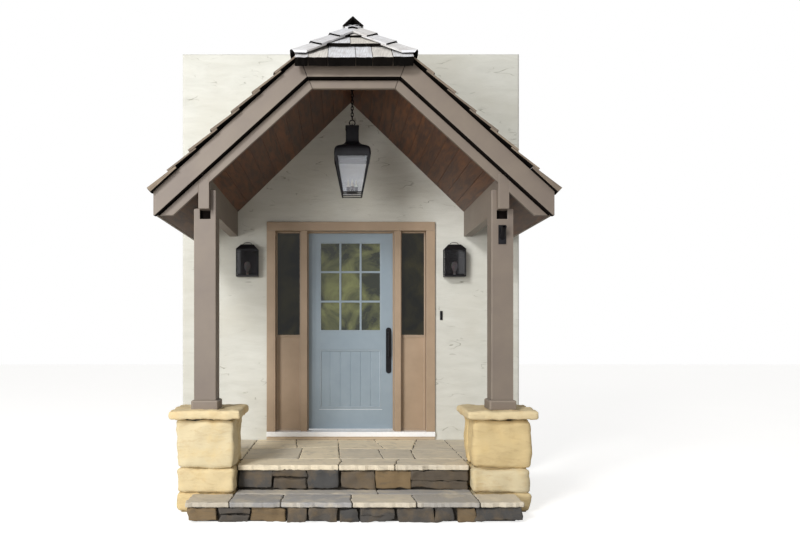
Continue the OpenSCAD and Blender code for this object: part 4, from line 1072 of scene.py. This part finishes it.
capStoneLook = {
    "round": 0.024,
    "roundSteps": 3,
    "skew": 0.006,
    "cell": 0.022,
    "waves": 10.0,
    "relief": 0.012,
    "seed": 61,
}
capLow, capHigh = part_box("pier_caps")
capWidth = capHigh.x - (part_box("right_pier")[0].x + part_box("right_pier")[1].x) / 2
capStones = bmesh.new()
capRng = random.Random(capStoneLook["seed"])
for side in (-1, 1):
    middle = side * (capHigh.x - capWidth)
    addTo(capStones, hewStone(Vector((middle - capWidth, capLow.y, capLow.z)),
                              Vector((middle + capWidth, capHigh.y, capHigh.z + 0.002)),
                              capStoneLook, capRng, 0.0, capRng.uniform(0.1, 0.4)))
pieceFrom("pierCapStones", capStones, [capSandstone], nodes=("pier_caps",))
print("piers built")

riserLook = {
    "widths": (0.15, 0.32),
    "joint": 0.008,
    "depth": 0.07,
    "proud": (0.0, 0.009),
    "round": 0.011,
    "roundSteps": 2,
    "skew": 0.02,
    "cell": 0.022,
    "waves": 13.0,
    "relief": 0.015,
    "coreInset": 0.038,
    "shades": (0.0, 0.1, 0.3, 0.45),
    "warmths": (0.0, 0.05, 0.1, 0.15, 0.2, 0.3, 0.8),
    "thinShare": 0.2,     # of the wide stones are two thin ones, one on the other
    "thinFrom": (0.2, 0.09),
    "thinSplit": (0.4, 0.6),
    "thinJoint": 0.004,   # m, half the joint between the two
    "sideStart": 0.05,    # m, the side rows start behind the front row
    "pierGap": 0.004,
    "seed": 17,
    "landingSeed": 99,
}


def layRiserRow(stones, start, run, outward, length, z0, z1, look, rng):
    at = 0.0
    while at < length - 0.001:
        width = rng.uniform(*look["widths"])
        if length - at - width < look["widths"][0]:
            width = length - at
        proud = rng.uniform(*look["proud"])
        near = start + run * (at + look["joint"] / 2) + outward * proud
        far = start + run * (at + width - look["joint"] / 2) - outward * look["depth"]
        low = Vector((min(near.x, far.x), min(near.y, far.y), z0 + look["joint"] * 0.3))
        high = Vector((max(near.x, far.x), max(near.y, far.y), z1 - look["joint"] * 0.4))
        shade = rng.choice(look["shades"]) * rng.uniform(0.5, 1.0)
        warmth = rng.choice(look["warmths"])
        levels = [low.z, high.z]
        tall = high.z - low.z
        if width > look["thinFrom"][0] and tall > look["thinFrom"][1] and rng.random() < look["thinShare"]:
            levels.insert(1, low.z + tall * rng.uniform(*look["thinSplit"]))
        for foot, head in zip(levels, levels[1:]):
            a = Vector((low.x, low.y, foot + look["thinJoint"] * (foot > low.z)))
            b = Vector((high.x, high.y, head - look["thinJoint"] * (head < high.z)))
            addTo(stones, hewStone(a, b, look, rng, shade, warmth))
        at += width


def buildRisers(name, node, rows, look, seed):
    rng = random.Random(look["seed"] + seed)
    low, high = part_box(node)
    stones = cadCopy(node)
    # the mortar stands back behind the faces that show
    for vert in stones.verts:
        for axis in (0, 1):
            if abs(vert.co[axis] - low[axis]) < 1e-4:
                vert.co[axis] += look["coreInset"]
            elif axis == 0 and abs(vert.co[axis] - high[axis]) < 1e-4:
                vert.co[axis] -= look["coreInset"]
    asMortar(stones)
    for start, run, outward, length in rows:
        layRiserRow(stones, Vector(start), run, outward, length, low.z, high.z, look, rng)
    pieceFrom(name, stones, [buffFieldstone, rakedMortarAndPaintedShade], nodes=(node,))


stepLow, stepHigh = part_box("lower_step_base")
landLow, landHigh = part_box("landing_base")
pierLow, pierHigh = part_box("right_pier")
sideFrom = stepLow.y + riserLook["sideStart"]
sideRun = pierLow.y - sideFrom - 0.005
pierGap = riserLook["pierGap"]
buildRisers("lowerStepStones", "lower_step_base", [
    ((stepLow.x, stepLow.y, 0), xAxis, -yAxis, stepHigh.x - stepLow.x),
    ((stepLow.x, sideFrom, 0), yAxis, -xAxis, sideRun),
    ((stepHigh.x, sideFrom, 0), yAxis, xAxis, sideRun),
], riserLook, 0)
landRows = [
    ((pierGap - pierLow.x, landLow.y, 0), xAxis, -yAxis, 2 * (pierLow.x - pierGap)),
    ((landLow.x, pierHigh.y + pierGap, 0), yAxis, -xAxis, landHigh.y - pierHigh.y - pierGap),
    ((landHigh.x, pierHigh.y + pierGap, 0), yAxis, xAxis, landHigh.y - pierHigh.y - pierGap),
]
tallRiser = dict(riserLook, widths=(0.22, 0.4))
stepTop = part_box("lower_step_slabs")[1].z
buildRisers("landingStones", "landing_base", [], riserLook, 4)
landingFace = bmesh.new()
landingRng = random.Random(riserLook["landingSeed"])
for rowStart, rowRun, rowOut, rowLength in landRows:
    # the lower step hides the foot of the front row
    for foot, head in [(0.0, stepTop), (stepTop, landHigh.z)][1 if rowOut.y else 0:]:
        layRiserRow(landingFace, Vector(rowStart), rowRun, rowOut, rowLength, foot, head, tallRiser,
                    landingRng)
pieceFrom("landingRiserStones", landingFace, [buffFieldstone])
belowLow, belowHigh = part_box("wall_below_door")
belowDoor = cadCopy("wall_below_door")
for vert in belowDoor.verts:
    if abs(vert.co.y - belowHigh.y) < 1e-4:
        vert.co.y -= riserLook["coreInset"]
asMortar(belowDoor)
belowMiddle = (belowLow.z + belowHigh.z) / 2
for foot, head in ((belowLow.z, belowMiddle), (belowMiddle, belowHigh.z)):
    layRiserRow(belowDoor, Vector((belowLow.x, belowHigh.y - 0.006, 0)), xAxis, yAxis,
                belowHigh.x - belowLow.x, foot, head, tallRiser, landingRng)
pieceFrom("belowDoorStones", belowDoor, [buffFieldstone, rakedMortarAndPaintedShade],
          nodes=("wall_below_door",))
print("risers built")

flagLook = {
    "largest": 0.3,       # m2 of a flagstone
    "tilt": 0.2,
    "shares": (0.38, 0.62),
    "joint": 0.009,
    "ragged": 0.014,
    "edgeCell": 0.03,
    "ease": 0.008,
    "waver": (16, 15),    # ripples of the outline in a metre
    "cleft": (0.002, 0.0015),
    "splay": 0.003,       # m, the undersides' edges stray as far
    "bedInset": 0.02,     # the mortar bed stands back from the flags' edges
    "bedDrop": 0.01,
    # the landing's flags lean to the pale warm tone with little darkening: partly the stone's colour, partly
    # painted sunlight
    "shades": (0.0, 0.03, 0.06),
    "warmths": (0.6, 0.75, 0.9, 1.0),
    "seed": 3,
}
stepFlagLook = dict(flagLook, largest=0.22, shades=(0.05, 0.15, 0.25), warmths=(0.0, 0.05, 0.15, 0.5))


def layFlags(name, node, corners, look, seed):
    # the slab layer of the model cut into cells, with ragged outlines and raked joints
    rng = random.Random(look["seed"] + seed)
    low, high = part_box(node)
    flags = cadCopy(node)
    flags.normal_update()
    bed = flags.copy()
    others = [f for f in flags.faces if f.normal.z < 0.9]
    bmesh.ops.delete(flags, geom=others, context="FACES")
    # first cuts through the inner corners, so that every cell is convex
    for corner in corners:
        for axis in (0, 1):
            splitAt(flags, axis, corner[axis], dist=1e-5)
    for attempt in range(400):
        cell = max(flags.faces, key=lambda f: f.calc_area())
        if cell.calc_area() < look["largest"]:
            break
        xs = [v.co.x for v in cell.verts]
        ys = [v.co.y for v in cell.verts]
        alongLong = 0 if max(xs) - min(xs) > max(ys) - min(ys) else 1
        share = rng.uniform(*look["shares"])
        point = Vector([min(values) + (max(values) - min(values)) * share for values in (xs, ys)] + [0])
        lean = rng.uniform(-look["tilt"], look["tilt"])
        normal = Vector((1, lean, 0)) if alongLong == 0 else Vector((lean, 1, 0))
        bmesh.ops.bisect_plane(flags, geom=[cell, *cell.edges, *cell.verts], dist=1e-4, plane_co=point,
                               plane_no=normal)
    stones = flags.faces[:]
    rims = bmesh.ops.inset_individual(flags, faces=stones, thickness=look["joint"] / 2, use_even_offset=True)
    bmesh.ops.delete(flags, geom=rims["faces"], context="FACES")
    long = [e for e in flags.edges if e.calc_length() > look["edgeCell"] * 1.5]
    for edge in long:
        if edge.is_valid:
            cuts = max(1, round(edge.calc_length() / look["edgeCell"]))
            bmesh.ops.subdivide_edges(flags, edges=[edge], cuts=cuts)
    perX, perY = look["waver"]
    for vert in flags.verts:
        ripple = noise.fractal(Vector((vert.co.x * perX, vert.co.y * perX, seed)), 0.8, 2.0, 3)
        vert.co.x += look["ragged"] * ripple
        waver = noise.fractal(Vector((vert.co.y * perY, vert.co.x * perY, seed + 5)), 0.8, 2.0, 3)
        vert.co.y += look["ragged"] * waver
        vert.co.z -= look["cleft"][0] + look["cleft"][1] * ripple
    for vert in thicken(flags):
        vert.co.z = low.z
        vert.co += Vector((rng.uniform(-1, 1), rng.uniform(-1, 1), 0)) * look["splay"]
    bmesh.ops.recalc_face_normals(flags, faces=flags.faces)
    flags.normal_update()
    easeEdges(flags, look["ease"], sharper=0.9)
    # all the faces of one flag get the same shade
    shadeLayer = flags.faces.layers.float.new("shade")
    warmthLayer = flags.faces.layers.float.new("warmth")
    seen = set()
    for face in flags.faces:
        if face in seen:
            continue
        island = [face]
        seen.add(face)
        for member in island:
            for edge in member.edges:
                for near in edge.link_faces:
                    if near not in seen:
                        seen.add(near)
                        island.append(near)
        shade = rng.choice(look["shades"]) * rng.uniform(0.4, 1.0)
        warmth = rng.choice(look["warmths"])
        for member in island:
            member[shadeLayer] = shade
            member[warmthLayer] = warmth
    # the mortar bed below the joints
    for vert in bed.verts:
        if abs(vert.co.z - high.z) < 1e-4:
            vert.co.z -= look["bedDrop"]
        for axis in (0, 1):
            if abs(vert.co[axis] - low[axis]) < 1e-4:
                vert.co[axis] += look["bedInset"]
            elif axis == 0 and abs(vert.co[axis] - high[axis]) < 1e-4:
                vert.co[axis] -= look["bedInset"]
    asMortar(bed)
    addTo(flags, bed)
    pieceFrom(name, flags, [cleftBluestone, rakedMortarAndPaintedShade], nodes=(node,))


layFlags("landingFlags", "landing_slabs", [(-pierLow.x, pierHigh.y), (pierLow.x, pierHigh.y)], flagLook, 0)
layFlags("lowerStepFlags", "lower_step_slabs", [(-pierLow.x, pierLow.y), (pierLow.x, pierLow.y)],
         stepFlagLook, 8)
print("flagstones laid")


# door leaf, its mouldings and the glazing beads

doorLook = {
    "ease": 0.002,
    "panelEase": 0.0012,
    "bar": 0.022,         # width of a glazing bar
    "barDeep": 0.012,
    "barEase": 0.005,
    "columns": 3,
    "rows": 3,
    "panelBead": 0.032,
    "panelBeadEase": 0.006,
    "ledge": 0.018,
    "ledgeReach": 0.012,
}
beadLook = {
    "glass": (0.014, 0.014, 0.03, 0.006),     # proud of the glass, depth, width, easing
    "panel": (0.008, 0.009, 0.036, 0.005),
}


def stileOrRail(centre):
    # the stiles run up, the rails run across
    return zAxis if abs(centre.x) > doorLight[1].x else xAxis


def barLattice(bm, low, high, front, deep, columns, rows, bar, ease):
    # glazing bars and their edge bead: a grid of panes, each inset, with the panes taken out
    lattice = bmesh.new()
    uprightGrid(lattice, low, high, front, columns, rows)
    panes = lattice.faces[:]
    bmesh.ops.inset_individual(lattice, faces=panes, thickness=bar / 2, use_even_offset=True)
    bmesh.ops.delete(lattice, geom=panes, context="FACES")
    bmesh.ops.translate(lattice, vec=(0, deep, 0), verts=thicken(lattice))
    bmesh.ops.dissolve_limit(lattice, angle_limit=0.01, verts=lattice.verts, edges=lattice.edges)
    bmesh.ops.recalc_face_normals(lattice, faces=lattice.faces)
    wear = lattice.faces.layers.float.new("wear")
    nose = [edge for edge in lattice.edges if len(edge.link_faces) == 2 and edge.calc_face_angle(0.0) > 1.0
            and all(abs(vert.co.y - front) < 1e-5 for vert in edge.verts)]
    rounded = bmesh.ops.bevel(lattice, geom=nose, offset=ease, offset_type="OFFSET", segments=3, profile=0.5,
                              affect="EDGES", clamp_overlap=True, material=-1)
    for face in rounded["faces"]:
        face[wear] = 0.6
    layGrain(lattice, alongZ)
    addTo(bm, lattice)


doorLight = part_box("door_glass")
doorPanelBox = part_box("door_panel")
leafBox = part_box("door_leaf")
leaf = cadCopy("door_leaf")
easeEdges(leaf, doorLook["ease"])
layGrain(leaf, stileOrRail)
pieceFrom("doorLeafFrame", leaf, [doorEnamel], body="door", nodes=("door_leaf",))
panel = cadCopy("door_panel")
easeEdges(panel, doorLook["panelEase"], segments=1, sharper=0.5, worn=0.0)
layGrain(panel, alongZ)
pieceFrom("doorBoardedPanel", panel, [doorEnamel], body="door", nodes=("door_panel",))
mouldings = bmesh.new()
for paneY, deep in ((doorLight[0].y, doorLook["barDeep"]), (doorLight[1].y, -doorLook["barDeep"])):
    barLattice(mouldings, *doorLight, paneY - deep, deep, doorLook["columns"], doorLook["rows"],
               doorLook["bar"], doorLook["barEase"])
barLattice(mouldings, *doorPanelBox, leafBox[0].y + 0.001, doorPanelBox[0].y - leafBox[0].y - 0.001, 1, 1,
           doorLook["panelBead"], doorLook["panelBeadEase"])
# the sloping ledge at the foot of the boarded panel, where the light catches; its near-white enamel is a
# painted highlight
ledge = bmesh.new()
ledgeFront, ledgeBack = leafBox[0].y - 0.003, doorPanelBox[0].y + 0.004
ledgeFoot, ledgeTop = doorPanelBox[0].z - doorLook["ledge"], doorPanelBox[0].z + 0.004
frustum(ledge, [[(x, ledgeFront, ledgeFoot), (x, ledgeBack, ledgeFoot), (x, ledgeBack, ledgeTop)]
                for x in (doorPanelBox[0].x - doorLook["ledgeReach"],
                          doorPanelBox[1].x + doorLook["ledgeReach"])])
bmesh.ops.recalc_face_normals(ledge, faces=ledge.faces)
for face in ledge.faces:
    face.material_index = 1
layGrain(ledge, alongX)
addTo(mouldings, ledge)
pieceFrom("doorMouldings", mouldings, [doorEnamel, ledgePaintedHighlight], body="door")

glazingBeads = bmesh.new()
sideGlassLow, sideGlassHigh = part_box("sidelight_glass")
sidePanelLow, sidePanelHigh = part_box("sidelight_panels")
mullionOut = min(abs(v.co.x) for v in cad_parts["sidelight_glass"].data.vertices)
for side in (-1, 1):
    left, right = sorted((side * mullionOut, side * sideGlassHigh.x))
    for low, high, y, outward, kind in ((sideGlassLow, sideGlassHigh, sideGlassLow.y, -1, "glass"),
                                        (sideGlassLow, sideGlassHigh, sideGlassHigh.y, 1, "glass"),
                                        (sidePanelLow, sidePanelHigh, sidePanelLow.y, -1, "panel")):
        proud, deep, wide, ease = beadLook[kind]
        barLattice(glazingBeads, Vector((left, 0, low.z)), Vector((right, 0, high.z)), y + outward * proud,
                   -outward * deep, 1, 1, wide, ease)
pieceFrom("sidelightBeads", glazingBeads, [joineryPaint])
print("door and sidelights fitted")


# hanging lantern: cap, cage, chain and candle cups

lanternLook = {
    "capRings": (         # height, half width, corner radius
        (3.158, 0.170, 0.014), (3.179, 0.171, 0.016), (3.2, 0.1705, 0.018), (3.226, 0.167, 0.022),
        (3.243, 0.161, 0.028), (3.254, 0.152, 0.03), (3.263, 0.137, 0.03), (3.272, 0.118, 0.026),
        (3.281, 0.099, 0.022), (3.291, 0.082, 0.016), (3.303, 0.0695, 0.012), (3.318, 0.063, 0.01),
        (3.34, 0.061, 0.01), (3.449, 0.06, 0.01), (3.453, 0.0645, 0.01), (3.467, 0.0645, 0.01),
    ),
    "capInside": ((3.158, 0.163, 0.01), (3.2, 0.163, 0.012), (3.24, 0.13, 0.012)),
    "barTop": 0.025,
    "barFoot": 0.015,
    "barThick": 0.005,
    "railHigh": 0.007,
    "railWide": 0.011,
    "rails": (0.0, 0.018),
    "footHalf": 0.0965,
    "tray": 0.034,
    "trayThick": 0.005,
    "trayHalf": 0.05,
    "armWire": 0.0035,
    "candleRing": 0.037,  # the four stand in a diamond: one in front, one behind, one to each side
    "knob": ((0, 0.021), (0.005, 0.021), (0.012, 0.012), (0.022, 0.011), (0.026, 0.006)),
    "cup": ((0.0, 0.01), (0.003, 0.018), (0.02, 0.0155), (0.041, 0.0175), (0.043, 0.0175), (0.043, 0.0125)),
    "candle": (
        (0.0, 0.011), (0.066, 0.011), (0.069, 0.009), (0.071, 0.006), (0.076, 0.008), (0.083, 0.0095),
        (0.092, 0.0085), (0.102, 0.0055), (0.112, 0.002), (0.116, 0.0008),
    ),
    "linkWire": 0.0042,
    "linkTall": 0.044,
    "linkWide": 0.026,
    "linkTurn": 75.0,     # degrees
    "ringRadius": 0.027,
    "ringWire": 0.0055,
}


def stadium(centre, tall, wide, turn, steps=6):
    # the middle line of a chain link standing upright
    points = []
    straight = tall / 2 - wide / 2
    for i in range(2 * steps):
        angle = math.pi * (i + 0.5) / steps
        x = wide / 2 * math.cos(angle)
        z = wide / 2 * math.sin(angle) + math.copysign(straight, math.sin(angle))
        points.append((centre[0] + x * math.cos(turn), centre[1] + x * math.sin(turn), centre[2] + z))
    return points


def ironPiece(name, bm, node):
    bmesh.ops.recalc_face_normals(bm, faces=bm.faces)
    pieceFrom(name, bm, [blackenedIron], nodes=(node,))


def buildLantern(look):
    low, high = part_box("lantern_cage")
    middle = ((low.x + high.x) / 2, (low.y + high.y) / 2)
    cap = bmesh.new()
    frustum(cap, [roundedSquare(middle, *ring) for ring in (*reversed(look["capInside"]), *look["capRings"])])
    knobFoot = look["capRings"][-1][0]
    ringMiddle = knobFoot + 0.012 + look["ringRadius"]
    turned(cap, middle, knobFoot, look["knob"], 16)
    angles = [2 * math.pi * k / 20 for k in range(20)]
    tube(cap, [(middle[0] + look["ringRadius"] * math.cos(angle), middle[1],
                ringMiddle + look["ringRadius"] * math.sin(angle)) for angle in angles],
         look["ringWire"], closed=True)
    ironPiece("lanternRoofCap", cap, "lantern_cap")

    cage = bmesh.new()
    topZ, topHalf = look["capRings"][0][0] + 0.006, look["capRings"][0][1] - 0.002
    footHalf = look["footHalf"]
    thick = look["barThick"]
    for sideX in (-1, 1):
        for sideY in (-1, 1):
            stations = []
            for z, half, leg in ((low.z, footHalf, look["barFoot"]), (topZ, topHalf, look["barTop"])):
                plan = ((half, half), (half - leg, half), (half - leg, half - thick),
                        (half - thick, half - thick), (half - thick, half - leg), (half, half - leg))
                stations.append([(middle[0] + sideX * x, middle[1] + sideY * y, z) for x, y in plan])
            frustum(cage, stations)
    for rise in look["rails"]:
        foot, head = low.z + rise, low.z + rise + look["railHigh"]
        outer = footHalf + (topHalf - footHalf) * (foot - low.z) / (topZ - low.z)
        inner = outer - look["railWide"]
        rail = ((foot, outer), (head, outer), (head, inner), (foot, inner))
        frustum(cage, [roundedSquare(middle, z, half, 0.002, 1) for z, half in rail], close=False)
    # the tray that carries the candle cups, and the two arms under it
    trayZ = low.z + look["tray"]
    frustum(cage, [roundedSquare(middle, z, look["trayHalf"], 0.02)
                   for z in (trayZ, trayZ + look["trayThick"])])
    spots = [(middle[0] + x * look["candleRing"], middle[1] + y * look["candleRing"])
             for x, y in ((-1, 0), (1, 0), (0, -1), (0, 1))]
    for spot in spots:
        turned(cage, spot, trayZ + look["trayThick"], look["cup"], 14)
    for direction in (xAxis, yAxis):
        centre = Vector((*middle, trayZ + 0.002))
        reach = direction * footHalf * 1.05
        tube(cage, [centre - reach, centre + reach], look["armWire"])
    ironPiece("lanternCageBars", cage, "lantern_cage")

    candles = bmesh.new()
    for spot in spots:
        turned(candles, spot, trayZ + look["trayThick"] + 0.0005, look["candle"], 16)
    bmesh.ops.recalc_face_normals(candles, faces=candles.faces)
    pieceFrom("lanternCandleSet", candles, [dripWax], nodes=("lantern_candles",))

    chain = bmesh.new()
    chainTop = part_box("lantern_chain")[1].z
    start = ringMiddle + look["ringRadius"] - 0.001
    pitch = look["linkTall"] - 2.3 * look["linkWire"]
    count = math.ceil((chainTop - start) / pitch)
    pitch = (chainTop - start - look["linkTall"]) / (count - 1)
    for i in range(count):
        centre = (middle[0], middle[1], start + look["linkTall"] / 2 + pitch * i)
        turn = math.radians(look["linkTurn"] + 90 * i)
        link = stadium(centre, look["linkTall"] - look["linkWire"], look["linkWide"] - look["linkWire"], turn)
        tube(chain, link, look["linkWire"], closed=True)
    ironPiece("lanternChainLinks", chain, "lantern_chain")


buildLantern(lanternLook)
print("lantern hung")


# wall lights: hipped hoods over dark panes

wallLightLook = {
    "foot": 2.112,
    "eave": 2.404,
    "peak": 2.4535,
    "half": 0.1125,
    "flatHalf": 0.068,
    "bar": 0.0085,
    "tray": 0.02,
    "crownBack": 0.045,   # how far the flat crown stands back from the front
    "loopHalf": 0.044,
    "loopWire": 0.0032,
    "loopRise": 0.028,
    "bulb": ((0.0, 0.013), (0.028, 0.0145), (0.04, 0.02), (0.06, 0.031), (0.08, 0.0365), (0.1, 0.036),
             (0.118, 0.029), (0.13, 0.018), (0.135, 0.005)),
}


def buildWallLights(look):
    low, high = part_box("wall_lights")
    half, foot, eave, peak, bar = look["half"], look["foot"], look["eave"], look["peak"], look["bar"]
    out = high.x - half
    trayTop = foot + look["tray"]
    lights = bmesh.new()
    for side in (-1, 1):
        light = bmesh.new()
        x = side * out
        # back plate, tray and two front bars
        blockBetween(light, (x - half, high.y - 0.006, foot), (x + half, high.y, eave))
        blockBetween(light, (x - half, low.y, foot), (x + half, high.y - 0.005, trayTop))
        for edgeX in (x - half + bar / 2, x + half - bar / 2):
            blockBetween(light, (edgeX - bar / 2, low.y, trayTop - 0.002),
                         (edgeX + bar / 2, low.y + bar, eave + 0.002))
        # the hood: an eave band, four hips and a small flat
        rings = [(eave - 0.012, half + 0.001, low.y - 0.001),
                 (eave, half + 0.001, low.y - 0.001),
                 (eave + 0.004, half - 0.003, low.y + 0.003),
                 (peak - 0.004, look["flatHalf"] + 0.002, low.y + look["crownBack"] - 0.003),
                 (peak, look["flatHalf"], low.y + look["crownBack"])]
        frustum(light, [[(x - wide, y, z), (x + wide, y, z), (x + wide, high.y, z), (x - wide, high.y, z)]
                        for z, wide, y in rings])
        bmesh.ops.recalc_face_normals(light, faces=light.faces)
        easeEdges(light, 0.0015, sharper=0.6)
        loopY = (low.y + look["crownBack"] + high.y) / 2
        angles = [math.pi * k / 14 for k in range(15)]
        tube(light, [(x + look["loopHalf"] * math.cos(angle), loopY,
                      peak - 0.003 + look["loopRise"] * math.sin(angle) ** 0.6) for angle in angles],
             look["loopWire"])
        addTo(lights, light)
    ironPiece("wallLightBodies", lights, "wall_lights")
    bulbLow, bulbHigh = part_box("wall_light_bulbs")
    bulbY = (bulbLow.y + bulbHigh.y) / 2
    bulbs = bmesh.new()
    for side in (-1, 1):
        turned(bulbs, (side * out, bulbY), bulbLow.z, look["bulb"], 24)
    bmesh.ops.recalc_face_normals(bulbs, faces=bulbs.faces)
    for face in bulbs.faces:
        face.smooth = True
    pieceFrom("wallLightLamps", bulbs, [opalBulbGlass], nodes=("wall_light_bulbs",))


buildWallLights(wallLightLook)
print("wall lights hung")


# floor, world and lamps

stageLook = {
    "floor": "#CBC9C5",
    "floorPale": "#D3D1CD",
    "sky": "#FFFFFF",
    "floorGlow": 0.67,
    "ambient": 0.36,
    "keyPower": 790.0,
    "keySize": 2.6,
    "keyPlace": (-5.2, -9.4, 7.6),
    "fillPower": 680.0,
    "fillSize": 4.5,
    "fillPlace": (-7.0, -11.0, 2.4),
    "aim": (0, 0, 1.8),
}


def buildFloor(look):
    # a pale sheet that keeps the shadows and shows white where the camera sees it lit
    material = makeFinish("paleFloorSheet", 0.95, look["floor"],
                          {"cloud": ("object", None, 0.7, 2.0, 0.5, 0.0)},
                          {"pale": (look["floorPale"], ("cloud",))})
    tree = material.node_tree
    shader = tree.nodes["Principled BSDF"]
    ray = addNode(tree, "ShaderNodeLightPath")
    glow = addNode(tree, "ShaderNodeMath", {0: ray.outputs["Is Camera Ray"], 1: look["floorGlow"]},
                   operation="MULTIPLY")
    shader.inputs["Emission Color"].default_value = linear("#FFFFFF")
    tree.links.new(glow.outputs[0], shader.inputs["Emission Strength"])
    bm = bmesh.new()
    bmesh.ops.create_grid(bm, x_segments=1, y_segments=1, size=30.0)
    bmesh.ops.translate(bm, vec=(0, 0, -0.0008), verts=bm.verts)
    objectFrom("paleFloor", bm, [material])


def buildWorld(look):
    world = bpy.data.worlds.new("paleStudio")
    bpy.context.scene.world = world
    world.use_nodes = True
    tree = world.node_tree
    background = tree.nodes["Background"]
    ray = addNode(tree, "ShaderNodeLightPath")
    seen = addNode(tree, "ShaderNodeMath", {0: ray.outputs["Is Camera Ray"], 1: ray.outputs["Is Glossy Ray"]},
                   operation="MAXIMUM")
    through = addNode(tree, "ShaderNodeMath", {0: seen.outputs[0], 1: ray.outputs["Is Transmission Ray"]},
                      operation="MAXIMUM")
    strength = addNode(tree, "ShaderNodeMapRange",
                       {"Value": through.outputs[0], "To Min": look["ambient"], "To Max": 1.0})
    background.inputs["Color"].default_value = linear(look["sky"])
    tree.links.new(strength.outputs[0], background.inputs["Strength"])


def addLamp(name, power, size, place, aim):
    lamp = bpy.data.objects.new(name, bpy.data.lights.new(name, "AREA"))
    lamp.data.energy = power
    lamp.data.size = size
    lamp.location = place
    lamp.rotation_euler = (Vector(aim) - Vector(place)).to_track_quat("-Z", "Y").to_euler()
    bpy.context.scene.collection.objects.link(lamp)


buildFloor(stageLook)
buildWorld(stageLook)
for lampName in ("key", "fill"):
    addLamp(lampName + "Lamp", *[stageLook[lampName + value] for value in ("Power", "Size", "Place")],
            stageLook["aim"])
bpy.context.scene.view_settings.view_transform = "Standard"
print("stage set")
